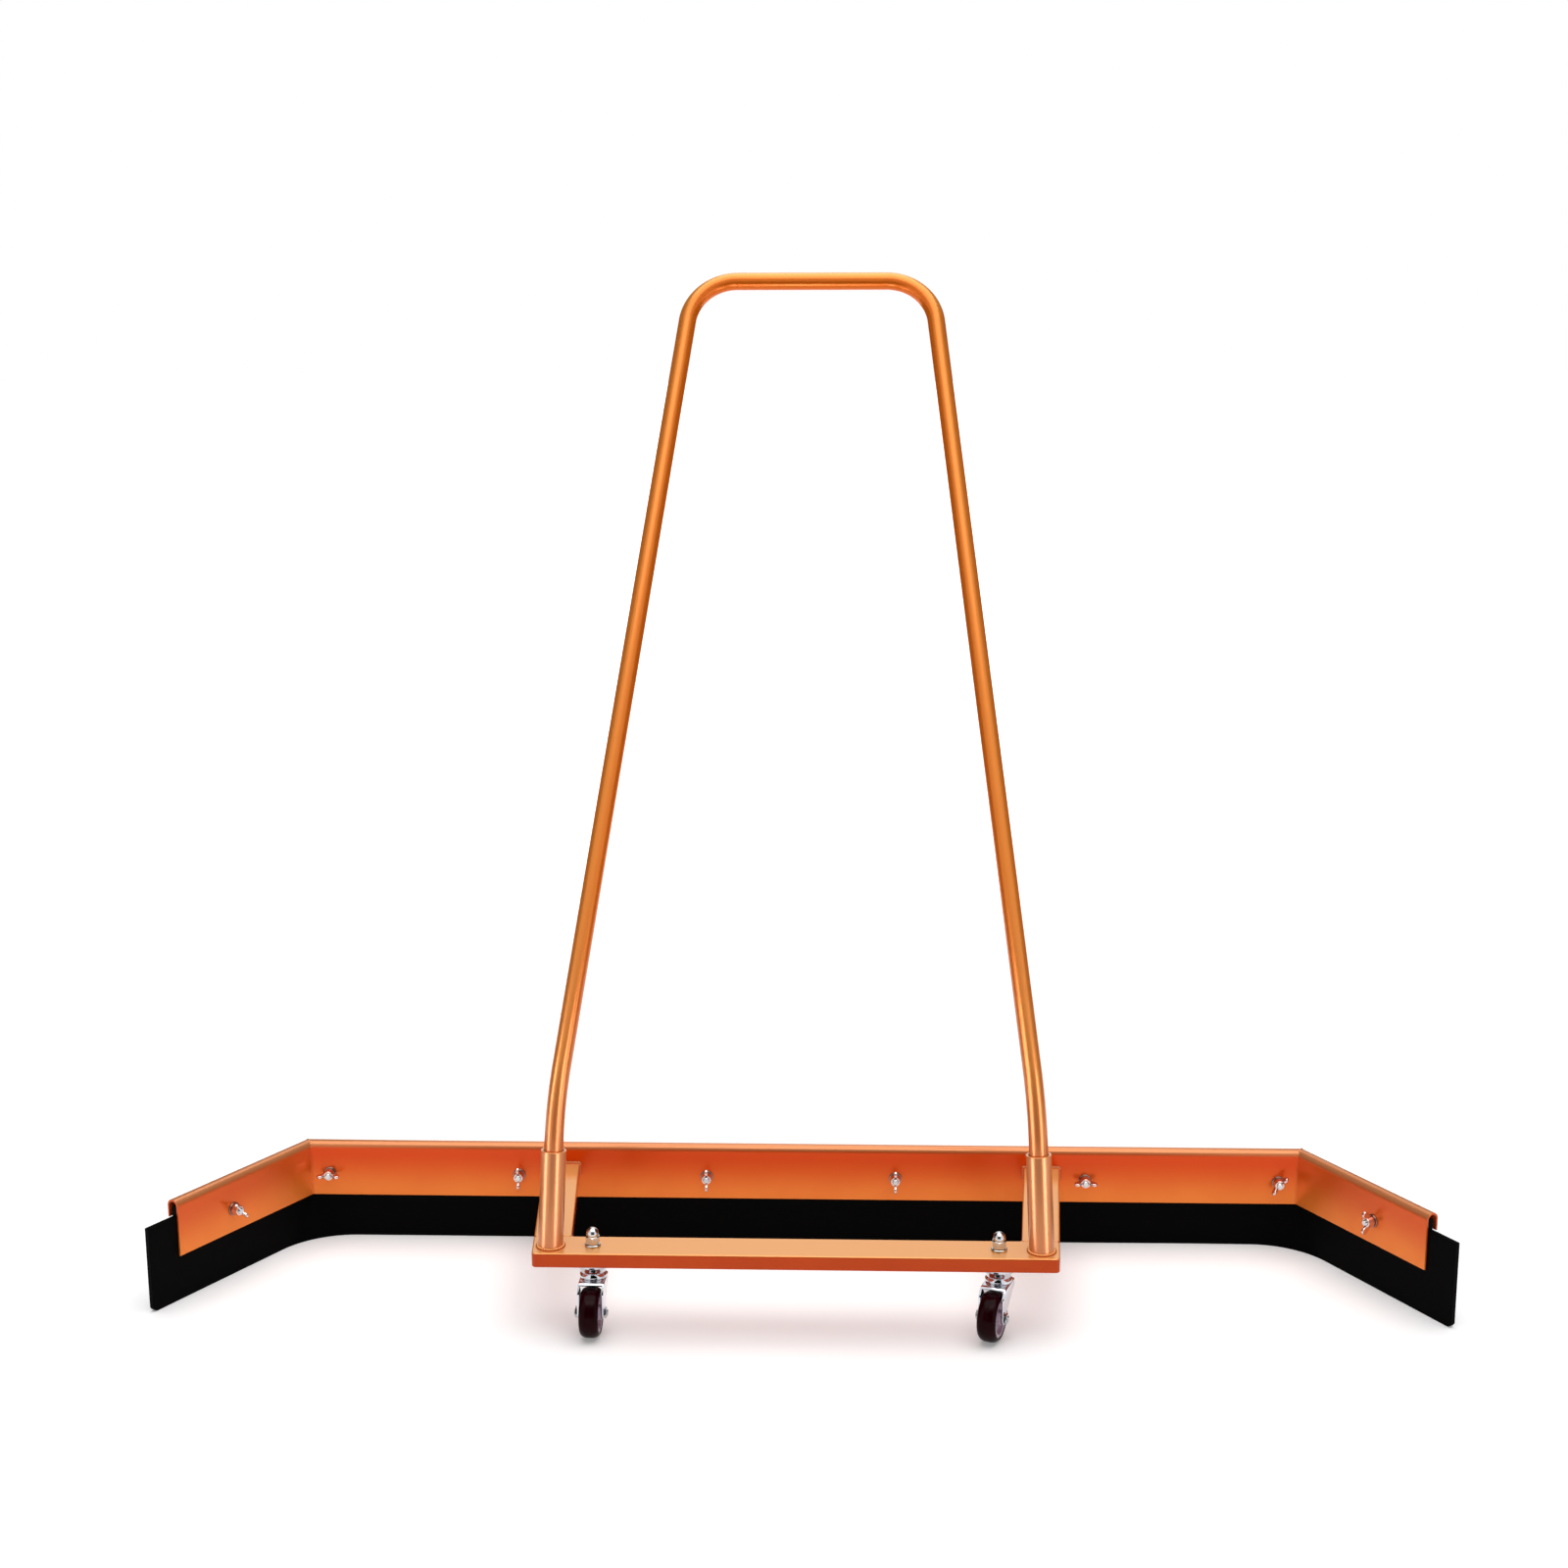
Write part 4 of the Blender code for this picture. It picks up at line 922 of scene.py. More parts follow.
# %% Beads on the arms
RAIL_BEAD, BAR_BEAD, TOP_BEAD = 2.2 * MM, 1.8 * MM, 1.3 * MM


def arm_beads(side, word):
    """The fillets on an arm: across the rail end, down its sides, and in the corner at the bar."""
    start, end = arm_ends(side, word)
    half = ARM_WIDTH / 2
    top = bar_high.z
    low = bar_low.z + 1.5 * MM
    at_rail = RAIL_FRONT - 0.4 * MM
    at_bar = bar_high.y + 0.4 * MM
    rail_corners = ((-half, low), (-half, top), (half, top), (half, low))
    top_ends = (2 * MM - half, half - 2 * MM)
    return {
        "_arm_rail_weld": ([(end.x + x, at_rail, z) for x, z in rail_corners], RAIL_BEAD),
        "_arm_bar_weld": ([(start.x - side * half, at_bar, z) for z in (low, top - 1 * MM)], BAR_BEAD),
        "_arm_top_weld": ([(start.x + x, bar_high.y, top - 0.9 * MM) for x in top_ends], TOP_BEAD),
    }


for side, word in SIDES:
    for ending, (points, radius) in arm_beads(side, word).items():
        weld(word + ending, points, radius, RAIL_POWDER if "rail" in ending else POWDER)

# %% Beads on the mitres
MITRE_BEAD = 1.3 * MM
MITRE_BEAD_SUNK = 0.9 * MM


def mitre_line(side):
    """The outline of the rail's outer side in the mitre plane, from the lower edge over the roll."""
    centre = (ROLL_RADIUS, RAIL_TOP - ROLL_RADIUS)
    outline = [(0.0, RAIL_BOTTOM + 1.2 * MM)] + arc(centre, ROLL_RADIUS - MITRE_BEAD_SUNK, pi, 0.1, 12)
    return [centre_place(side * (CENTRE_HALF + depth * MITRE), depth, height) for depth, height in outline]


for side, word in SIDES:
    weld(word + "_mitre_weld", mitre_line(side), MITRE_BEAD, RAIL_POWDER)

# %% [markdown]
# ## Blade fasteners
#
# Eight M6 hexagon bolts come through from behind and end in wing nuts on washers. A hexagon, a
# screw thread and a chamfer all have one radius for each angle and height, so all of them can be
# levels of the same turned skin: the level is a function of the angle.

# %% Hexagons and threads
HEX_CHAMFER = 0.94
THREAD_DEPTH = 0.61
THREAD_SLICES = 8


def hex_radius(flats, angle):
    """Distance from the axis to a hexagon's side at this angle."""
    return flats / 2 / cos((angle + pi / 6) % (pi / 3) - pi / 6)


def hex_levels(flats, low, high, both=True):
    """Levels of a hexagon whose corners are turned off at 30 degrees, at its low end or at both."""
    round_radius = flats / 2 * HEX_CHAMFER

    def corner(height, inward):
        def level(angle):
            radius = hex_radius(flats, angle)
            return radius, height + inward * (radius - round_radius) * tan(pi / 6)
        return level

    levels = [(round_radius, low), corner(low, 1)]
    return levels + ([corner(high, -1), (round_radius, high)] if both else [corner(high, 0)])


def thread_levels(radius, pitch, low, high):
    """Levels of a right-hand screw thread from low to a chamfered tip at high."""
    depth = THREAD_DEPTH * pitch
    levels = []
    count = round((high - low) / pitch * THREAD_SLICES)
    for i in range(count + 1):
        height = low + (high - low) * i / count

        def level(angle, height=height):
            phase = (height / pitch - angle / (2 * pi)) % 1.0
            cut = depth * abs(2 * phase - 1)
            tip = radius - max(0.0, height - (high - 0.8 * depth)) - 0.05 * MM
            return min(radius - cut, tip), height
        levels.append(level)
    return levels


print("across corners of a 10 mm hexagon in mm", round(2 * hex_radius(10, pi / 6), 2))

# %% The copies tree
def copies_tree():
    """Copies of one small part at points that carry their own turn."""
    tree, given = start_tree("copies_on_points", {"Part": "Object", "Material": "Material"})
    part = add_node(tree, "GeometryNodeObjectInfo", {"Object": given["Part"]})
    turn = add_node(tree, "GeometryNodeInputNamedAttribute", {"Name": "turn"}, data_type="QUATERNION")
    copies = add_node(tree, "GeometryNodeInstanceOnPoints",
                      {"Points": given["Geometry"], "Instance": part.outputs["Geometry"],
                       "Rotation": turn.outputs["Attribute"]})
    end_tree(tree, copies, given["Material"])
    return tree


COPIES_TREE = copies_tree()


def show_copies(name, part_mesh, matrices, material, body, nodes):
    """Shows one piece with a copy of the part at each matrix."""
    points = bpy.data.meshes.new(name + "_points")
    points.from_pydata([tuple(matrix.translation) for matrix in matrices], [], [])
    turn = points.attributes.new("turn", "QUATERNION", "POINT")
    for item, matrix in zip(turn.data, matrices):
        item.value = matrix.to_quaternion()
    part = add_object(name + "_part", part_mesh)
    mesh = run_tree(COPIES_TREE, points, {"Part": part, "Material": material})
    bpy.data.objects.remove(part, do_unlink=True)
    show(name, mesh, material, body, nodes)


def numbered(word):
    """The names of the eight nodes of one kind along the blade."""
    return [word + "_%d" % number for number in range(1, len(BOLT_FRAMES) + 1)]


def left_and_right(ending):
    """The names of the two nodes of one kind, left and right."""
    return [word + ending for _, word in SIDES]


def lifted(places, height):
    """The places, each moved along its own Z."""
    return [place @ Matrix.Translation((0, 0, height)) for place in places]


print("copies tree ready")


# %% Washers
def washer_mesh(outer, inner, thickness):
    """A stamped washer: one edge is rolled round by the punch, the other stays crisp."""
    roll, crisp = 0.45 * thickness, 0.15 * thickness
    return turned("washer", soften([(inner, 0.0, crisp), (outer, 0.0, crisp), (outer, thickness, roll),
                                    (inner, thickness, roll)], steps=4), steps=56, ring=True)


# the washers' darker, duller zinc is painted shade round each wing nut
show_copies("blade_washers", washer_mesh(WASHER_RADIUS, M6_HOLE, WASHER_THICKNESS),
            lifted(BOLT_FRAMES, GAP / 2), PAINTED_SHADE_ZINC, "root", numbered("blade_washer"))

# %% Blade bolts
M6_FLATS = 10.0 * MM
M6_HEAD = 4.0 * MM
M6_PITCH = 1.0 * MM
NUT_HEIGHT = 8.0 * MM
BOLT_PROUD = 2.2 * MM
NUT_SEAT = 2 * GAP + WASHER_THICKNESS


def bolt_mesh(head, seat, thread_start, tip):
    """A hexagon bolt on Z: its head from head to seat, and its thread up to the tip."""
    levels = [(0.0, head), *hex_levels(M6_FLATS, head, seat, both=False)]
    levels += [(M6_RADIUS, seat), (M6_RADIUS, thread_start)]
    levels += thread_levels(M6_RADIUS, M6_PITCH, thread_start, tip)
    return turned("bolt", [*levels, (0.0, tip)], steps=48)


stack = STRIP_DEPTH + STRIP_THICKNESS + GAP
nut_top = NUT_SEAT + NUT_HEIGHT
blade_bolt = bolt_mesh(-stack - M6_HEAD, -stack, nut_top - 2 * M6_PITCH, nut_top + BOLT_PROUD)
show_copies("blade_bolts", blade_bolt, BOLT_FRAMES, ZINC, "root", numbered("blade_bolt"))

# %% [markdown]
# ## Wing nuts
#
# A forged wing nut is a tapered hub with two ears that sweep forward. Hub and ears are made apart and
# joined by a Boolean; a fine remesh and some smoothing then give the joint the soft fillet that a
# forging die leaves. Each nut turns on its own bolt, so each is a piece of its own.

# %% Wing nut shape
NUT_BASE_RADIUS = 5.8 * MM
NUT_NECK_RADIUS = 5.0 * MM
NUT_FLANGE = 1.8 * MM
NUT_HALF_SPAN = 12.5 * MM
NUT_EAR_TOP = 12.5 * MM
NUT_EAR_RADIUS = 3.6 * MM
NUT_EAR_ROOT = 1.2 * MM
NUT_EAR_HALF = 1.6 * MM
# how far each nut is turned at rest, in degrees
WING_NUT_TURNS = (-50.0, 0.0, 90.0, 90.0, 90.0, 0.0, 50.0, 90.0)


def ear_outline(side, shrink):
    """Side view of an ear as (across, forward), shrunk a little for its outer faces."""
    centre = (side * (NUT_HALF_SPAN - NUT_EAR_RADIUS), NUT_EAR_TOP - NUT_EAR_RADIUS)
    start, end = (-pi / 4, pi * 0.72) if side > 0 else (-3 * pi / 4, -3 * pi / 4 - pi * 0.97)
    root = NUT_EAR_ROOT + shrink
    outline = [(side * M6_RADIUS, root), (side * (NUT_BASE_RADIUS - GAP), root)]
    outline += arc(centre, NUT_EAR_RADIUS - shrink, start, end, 14)
    return outline + [(side * M6_RADIUS, NUT_HEIGHT - root)]


def ear_mesh(side):
    """An ear in five layers, from one outer face over the full outline to the other."""
    layers = ((-1.0, 0.55), (-0.72, 0.16), (0.0, 0.0), (0.72, 0.16), (1.0, 0.55))
    loops = [[(x, NUT_EAR_HALF * out, z) for x, z in ear_outline(side, shrink * MM)]
             for out, shrink in layers]
    return skin("ear", loops)


def wing_nut_mesh():
    """Hub and ears in one skin, smoothed, and bored for the bolt."""
    hub = turned("hub", soften([(0.0, 0.0), (NUT_BASE_RADIUS, 0.0, 0.3 * MM),
                                (NUT_BASE_RADIUS, NUT_FLANGE, 0.5 * MM),
                                (NUT_NECK_RADIUS, NUT_HEIGHT, 0.5 * MM), (0.0, NUT_HEIGHT)], closed=False))

    def forge(holder):
        tools = [add_boolean(holder, ear_mesh(side), "UNION") for side in (-1, 1)]
        grid = holder.modifiers.new("fine skin", "REMESH")
        grid.mode = "VOXEL"
        grid.voxel_size = 0.34 * MM
        grid.use_smooth_shade = True
        soft = holder.modifiers.new("die fillets", "SMOOTH")
        soft.factor = 0.5
        soft.iterations = 5
        bore = round_bar(M6_RADIUS + GAP, -MM, 20 * MM)
        return tools + [add_boolean(holder, bore, "DIFFERENCE")]

    mesh = baked(hub, forge)
    smooth_faces(mesh)
    return mesh


NUT_MESH = wing_nut_mesh()
print("wing nut faces", len(NUT_MESH.polygons))

# %% Eight wing nuts
for number, (seat, turn) in enumerate(zip(lifted(BOLT_FRAMES, NUT_SEAT), WING_NUT_TURNS), 1):
    place = seat @ Matrix.Rotation(radians(turn), 4, "Z")
    show_copies("wing_nut_forged_%d" % number, NUT_MESH, [place], WARM_ZINC, "wing_nut_body_%d" % number,
                ["wing_nut_%d" % number])

# %% [markdown]
# ## Cap nuts
#
# The casters' threaded stems come up through the crossbar and end in M8 cap nuts. A cap nut is a
# hexagon with a dome, and its levels run from the chamfered base to the pole of the dome.

# %% Cap nuts and their washers
SWIVELS = {word: Vector(joints[word + "_caster_swivel"]["pos_m"]) for _, word in SIDES}
STEM_RADIUS = 4.0 * MM
STEM_HOLE = 4.3 * MM
CAP_WASHER_RADIUS = 8.0 * MM
CAP_WASHER_THICKNESS = 2.0 * MM
CAP_FLATS = 13.0 * MM
CAP_HEX = 8.0 * MM
CAP_DOME = 6.25 * MM
CAP_DOME_SIDE = 2.25 * MM


def cap_nut_mesh():
    dome_foot = CAP_HEX + CAP_DOME_SIDE
    levels = [(0.0, 0.0), *hex_levels(CAP_FLATS, 0.0, CAP_HEX)]
    levels += [(CAP_DOME - 0.35 * MM, CAP_HEX + 0.1 * MM), (CAP_DOME - 0.05 * MM, CAP_HEX + 0.6 * MM),
               (CAP_DOME, dome_foot)]
    levels += arc((0.0, dome_foot), CAP_DOME, 0.0, pi / 2, 14)[1:]
    levels[-1] = (0.0, levels[-1][1])
    return turned("cap_nut", levels, steps=72)


upright = [Matrix.Translation((place.x, place.y, 0.0)) for place in SWIVELS.values()]
bases = lifted(upright, BAR_TOP + GAP / 2)
seats = lifted(bases, CAP_WASHER_THICKNESS + GAP)
show_copies("cap_washers", washer_mesh(CAP_WASHER_RADIUS, STEM_HOLE, CAP_WASHER_THICKNESS), bases, ZINC,
            "root", left_and_right("_cap_nut_washer"))
show_copies("cap_nuts_domed", cap_nut_mesh(), seats, ZINC, "root", left_and_right("_cap_nut"))

# %% [markdown]
# ## Swivel casters
#
# Each caster is a pressed and chromed fork under a ball race, with a 50 mm polyurethane wheel. The
# upper race and the stem stay with the frame, the lower race, fork and axle swivel, and the wheel
# turns on the axle. The joints say where each axis is, and so which way each caster points. All the
# round parts are turned skins. The fork is one bent sheet, so it is an arch that is cut to its side
# view: two outlines give the whole shape.

# %% Races and stem
RACE_LOW, RACE_HIGH = (corner.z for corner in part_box("left_caster_upper_race"))
RACE_RADIUS = 17.8 * MM
RACE_NECK = 12.5 * MM
STEM_LOW, STEM_HIGH = (corner.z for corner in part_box("left_caster_stem"))
STEM_HEAD_RADIUS = 6.8 * MM
STEM_HEAD = 2.8 * MM


def upper_race_mesh():
    """Pressed cup: a broad rolled flange under the bar that narrows to the ball track."""
    low, high = RACE_LOW, RACE_HIGH
    cup = 2.0 * MM
    levels = soften([(STEM_HOLE, low + cup), (RACE_NECK - 2 * cup, low + cup, 0.5 * MM),
                     (RACE_NECK - cup, low, 0.4 * MM), (RACE_NECK, low, 0.6 * MM),
                     (RACE_NECK + 1.5 * MM, low + 3.0 * MM, 2.5 * MM),
                     (RACE_RADIUS - 0.6 * MM, high - 3.2 * MM, 2.0 * MM),
                     (RACE_RADIUS, high - 1.2 * MM, 0.5 * MM), (RACE_RADIUS, high, 0.5 * MM),
                     (STEM_HOLE, high)], steps=5)
    return turned("upper_race", levels, steps=96, ring=True)


def stem_mesh():
    soft = 0.8 * MM
    levels = soften([(0.0, STEM_LOW), (STEM_HEAD_RADIUS, STEM_LOW, soft),
                     (STEM_HEAD_RADIUS, STEM_LOW + STEM_HEAD, 0.3 * MM), (STEM_RADIUS, STEM_LOW + STEM_HEAD),
                     (STEM_RADIUS, STEM_HIGH - soft), (STEM_RADIUS - soft, STEM_HIGH), (0.0, STEM_HIGH)],
                    closed=False)
    return turned("stem", levels, steps=48)


show_copies("caster_upper_races", upper_race_mesh(), upright, CHROME, "root",
            left_and_right("_caster_upper_race"))
show_copies("caster_stems", stem_mesh(), upright, ZINC, "root", left_and_right("_caster_stem"))

# %% Fork
WHEEL_RADIUS = 25.0 * MM
WHEEL_TRAIL = 20.0 * MM
FORK_GAP_HALF = 11.0 * MM
FORK_PLATE = 2.0 * MM
CROWN_LOW, CROWN_HIGH = 52.2 * MM, 55.0 * MM
FORK_BEND = 2.4 * MM
FORK_BEND_INSIDE = 0.8 * MM
AXLE_BOSS = 6.5 * MM
FORK_HEEL = 12.0 * MM
FORK_TOE = 18.0 * MM
FORK_KNEE = (-25.0 * MM, CROWN_LOW - 6.0 * MM)
# from the swivel's frame on the floor to the axle's frame, whose Z runs along the axle
TO_AXLE = Matrix.Translation((0, -WHEEL_TRAIL, WHEEL_RADIUS)) @ Matrix.Rotation(pi / 2, 4, "Y")


def fork_side_outline():
    """Side view of the fork as (along the trail, height)."""
    corners = [(FORK_HEEL, CROWN_HIGH, 1.5 * MM), (FORK_HEEL, CROWN_LOW - 3.0 * MM, 3.0 * MM)]
    corners += arc((-WHEEL_TRAIL, WHEEL_RADIUS), AXLE_BOSS, 0.15 * pi, -pi, 24)
    corners += [(*FORK_KNEE, 4.0 * MM), (-FORK_TOE, CROWN_HIGH, 2.5 * MM)]
    return soften(corners)


def fork_arch():
    """Front view of the bent sheet: an arch with soft shoulders, as (across, height)."""
    inner = FORK_GAP_HALF
    outer = inner + FORK_PLATE
    floor = -5 * MM
    return soften([(outer, floor), (outer, CROWN_HIGH, FORK_BEND),
                   (-outer, CROWN_HIGH, FORK_BEND), (-outer, floor),
                   (-inner, floor), (-inner, CROWN_LOW, FORK_BEND_INSIDE),
                   (inner, CROWN_LOW, FORK_BEND_INSIDE), (inner, floor)])


def fork_mesh():
    """The arch, drawn out along the trail, cut to the side view and drilled."""
    half = 45 * MM
    arch = skin("fork", [[(x, y, z) for x, z in fork_arch()] for y in (-half, half)])
    side = skin("fork_side", [[(x, y, z) for y, z in fork_side_outline()] for x in (-half, half)])
    pin = round_bar(STEM_RADIUS + 2 * GAP, 40 * MM, 60 * MM)
    axle = round_bar(M6_HOLE, -half, half)
    axle.transform(TO_AXLE)

    def press(holder):
        tools = [add_boolean(holder, side, "INTERSECT"), add_boolean(holder, pin, "DIFFERENCE"),
                 add_boolean(holder, axle, "DIFFERENCE")]
        add_bevel(holder, 0.4 * MM, 3, 50.0)
        return tools

    mesh = baked(arch, press)
    smooth_faces(mesh)
    return mesh


FORK_MESH = fork_mesh()
print("fork faces", len(FORK_MESH.polygons))

# %% Lower race, axle bolt and axle nut
BEARING_RADIUS = 13.5 * MM
BEARING_NECK = 11.5 * MM
AXLE_HEAD = 2.6 * MM
AXLE_HALF = 17.1 * MM
AXLE_SEAT = FORK_GAP_HALF + FORK_PLATE + GAP


def lower_race_mesh():
    low, high = CROWN_HIGH + GAP / 3, RACE_LOW - GAP
    inner = STEM_RADIUS + 2 * GAP
    levels = soften([(inner, low), (BEARING_RADIUS, low, 0.4 * MM),
                     (BEARING_RADIUS, low + 2.4 * MM, 1.0 * MM), (BEARING_NECK, high, 0.8 * MM),
                     (inner, high)], steps=5)
    return turned("lower_race", levels, steps=96, ring=True)


def axle_nut_mesh():
    bore = M6_RADIUS + GAP
    low, high = AXLE_SEAT, AXLE_SEAT + AXLE_HEAD
    levels = [(bore, low), *hex_levels(M6_FLATS, low, high), (bore, high)]
    return turned("axle_nut", levels, steps=48, ring=True)


axle_bolt = bolt_mesh(-AXLE_SEAT - AXLE_HEAD, -AXLE_SEAT, AXLE_SEAT + AXLE_HEAD - M6_PITCH, AXLE_HALF)
print("axle bolt faces", len(axle_bolt.polygons))

# %% Wheel
HUB_RADIUS = 19.5 * MM
HUB_HALF = 9.0 * MM
HUB_BOSS_HALF = 10.5 * MM
HUB_BOSS_RADIUS = 7.2 * MM
HUB_WEB_HALF = 5.2 * MM
HUB_RIM_INSIDE = 16.5 * MM
TYRE_HALF = 9.7 * MM
TYRE_SHOULDER = 8.0 * MM
TYRE_CROWN_DROP = 4.8 * MM


def both_sides(right):
    """A section given for the right half, and its mirror image after it."""
    return right + [(radius, -width) for radius, width in reversed(right)]


def tyre_mesh():
    """Wide crowned shoulders, a narrow tread, and the hair-thin ridge where the mould closed."""
    middle = TYRE_HALF - TYRE_SHOULDER
    side = [(HUB_RADIUS + GAP / 2, HUB_HALF)]
    for rise, out in arc((0.0, 0.0), 1.0, pi / 2, 0.0, 16):
        side.append((WHEEL_RADIUS - TYRE_CROWN_DROP * (1 - rise), middle + TYRE_SHOULDER * out))
    ridge = [(WHEEL_RADIUS, 0.5 * MM), (WHEEL_RADIUS - 0.02 * MM, 0.3 * MM)]
    return turned("tyre", both_sides(side + ridge), steps=128, ring=True)


def hub_mesh():
    """Wheel centre: a bearing boss, a dished web and a rim, with moulding drafts and soft corners."""
    right = soften([(M6_HOLE, HUB_BOSS_HALF), (HUB_BOSS_RADIUS, HUB_BOSS_HALF, 0.6 * MM),
                    (HUB_BOSS_RADIUS + 0.8 * MM, HUB_WEB_HALF, 1.2 * MM),
                    (HUB_RIM_INSIDE - 0.8 * MM, HUB_WEB_HALF, 1.2 * MM),
                    (HUB_RIM_INSIDE, HUB_HALF, 0.4 * MM), (HUB_RADIUS, HUB_HALF)], closed=False)
    return turned("hub", both_sides(right), steps=96, ring=True)


print("wheel width in mm", round(2 * TYRE_HALF / MM, 1))

# %% Both casters
def caster_frames(word):
    """The swivel frame and the axle frame of a caster at rest, from its two joints."""
    pivot = SWIVELS[word]
    axle_axis = Vector(joints[word + "_wheel_spin"]["axis"])
    turn = atan2(axle_axis.y, axle_axis.x)
    if abs(turn) > pi / 2:
        turn -= pi
    swivel = Matrix.Translation((pivot.x, pivot.y, 0.0)) @ Matrix.Rotation(turn, 4, "Z")
    return swivel, swivel @ TO_AXLE


for _, word in SIDES:
    swivel, axle = caster_frames(word)
    for ending, part, place, material, body, node in (
            ("_fork_pressed", FORK_MESH, swivel, CHROME, "_caster", "_caster_fork"),
            ("_lower_race_pressed", lower_race_mesh(), swivel, CHROME, "_caster", "_caster_lower_race"),
            ("_axle_bolt_hex", axle_bolt, axle, ZINC, "_caster", "_axle_bolt"),
            ("_axle_nut_hex", axle_nut_mesh(), axle, ZINC, "_caster", "_axle_nut"),
            ("_hub_moulded", hub_mesh(), axle, PLASTIC, "_wheel", "_wheel_hub"),
            ("_tyre_cast", tyre_mesh(), axle, TYRE, "_wheel", "_wheel_tyre")):
        show_copies(word + ending, part, [place], material, word + body, [word + node])
    print(word, "caster points at degrees", round(atan2(swivel[1][0], swivel[0][0]) * 180 / pi, 1))

# %% [markdown]
# ## Floor, light and camera
#
# A product picture: a white floor that runs into a white surround, and soft light from above. The
# surround is white where the camera or a reflection sees it, and dimmer as a light, so that colours
# stay true. The rest only works in reflections: a soft box over the camera, dark cards in front, at the
# sides and behind that draw dark edges down the tubes, and two narrow strips beside each socket that
# light nothing but that socket and the handle, where they draw pale bands.

# %% Floor
def seen_directly(tree):
    """1 for rays that show a surface as it is: from the camera, or over a mirror or through glass."""
    path = add_node(tree, "ShaderNodeLightPath").outputs
    seen = path["Is Camera Ray"]
    for kind in ("Is Glossy Ray", "Is Transmission Ray"):
        seen = add_node(tree, "ShaderNodeMath", {0: seen, 1: path[kind]}, operation="MAXIMUM")
    return seen


def floor_material():
    """Seamless paper: matt and white, with a faint fibre. Away from the object it runs into pure white,
    so that no horizon shows."""
    material, tree, shader, place = surface("seamless_paper_white", ("#F7F7F7", "#F5F5F5"), 400 * MM,
                                            (0.85, 0.95), 6 * MM, 0.02 * MM, {"Specular IOR Level": 0.1})
    away = add_node(tree, "ShaderNodeVectorMath", {0: place}, operation="LENGTH").outputs["Value"]
    fade = {"Value": away, "From Min": 0.7, "From Max": 2.2, "To Min": 0.22, "To Max": 0.6}
    fade = add_node(tree, "ShaderNodeMapRange", fade, interpolation_type="SMOOTHSTEP")
    lift = add_node(tree, "ShaderNodeMath", {0: fade, 1: seen_directly(tree)}, operation="MULTIPLY")
    shader.inputs["Emission Color"].default_value = colour("#FFFFFF")
    tree.links.new(lift.outputs[0], shader.inputs["Emission Strength"])
    return material


def sheet_object(name, corners, material):
    """One flat face that belongs to the studio."""
    mesh = bpy.data.meshes.new(name)
    mesh.from_pydata(corners, [], [range(len(corners))])
    mesh.materials.append(material)
    item = add_object(name, mesh)
    return item


FLOOR_HALF = 14.0
floor_corners = [(x * FLOOR_HALF, y * FLOOR_HALF, 0.0) for x, y in ((-1, -1), (1, -1), (1, 1), (-1, 1))]
sheet_object("floor", floor_corners, floor_material())
print("floor half size in metres", FLOOR_HALF)

# %% Surround
SURROUND_LIGHT = 0.30

world = bpy.data.worlds.new("white_surround")
scene.world = world
world.use_nodes = True
tree = world.node_tree
strength = {"Value": seen_directly(tree), "To Min": SURROUND_LIGHT, "To Max": 1.0}
strength = add_node(tree, "ShaderNodeMapRange", strength)
background = tree.nodes["Background"]
background.inputs["Color"].default_value = colour("#FFFFFF")
tree.links.new(strength.outputs["Result"], background.inputs["Strength"])
print("surround lights at", SURROUND_LIGHT)


# %% Lamps
def aim(place, target):
    """A matrix at a place whose -Z looks at the target."""
    matrix = (Vector(target) - Vector(place)).to_track_quat("-Z", "Y").to_matrix().to_4x4()
    matrix.translation = place
    return matrix


def add_lamp(name, kind, place, target, energy, **settings):
    """A lamp at a place that looks at the target and isn't seen by the camera."""
    lamp = bpy.data.lights.new(name, kind)
    lamp.energy = energy
    for key, value in settings.items():
        setattr(lamp, key, value)
    item = add_object(name, lamp)
    item.matrix_world = aim(place, target)
    item.visible_camera = False
    return item


# places and sizes in metres; the overhead lamp and the front box look at the object's middle
MIDDLE = (0.0, 0.1, 0.45)
OVERHEAD_PLACE = (0.3, 0.3, 4.0)
OVERHEAD_STRENGTH = 2.2
OVERHEAD_SPREAD = radians(70.0)
FRONT_BOX_PLACE = (0.0, -1.5, 3.0)
FRONT_BOX_ENERGY = 14.0
FRONT_BOX_SIZE = {"size": 2.4, "size_y": 0.9}
BAND_LAMP_DISTANCE = 0.35
BAND_LAMP_HEIGHT = 0.5
BAND_LAMP_SIZE = {"size": 0.13, "size_y": BAND_LAMP_HEIGHT}
BAND_LAMP_ENERGY = 1.4
BAND_LAMP_ANGLES = (("west", -62.0), ("east", 44.0))
add_lamp("overhead", "SUN", OVERHEAD_PLACE, MIDDLE, OVERHEAD_STRENGTH, angle=OVERHEAD_SPREAD)
boxes = [add_lamp("front_box", "AREA", FRONT_BOX_PLACE, MIDDLE, FRONT_BOX_ENERGY, **FRONT_BOX_SIZE)]
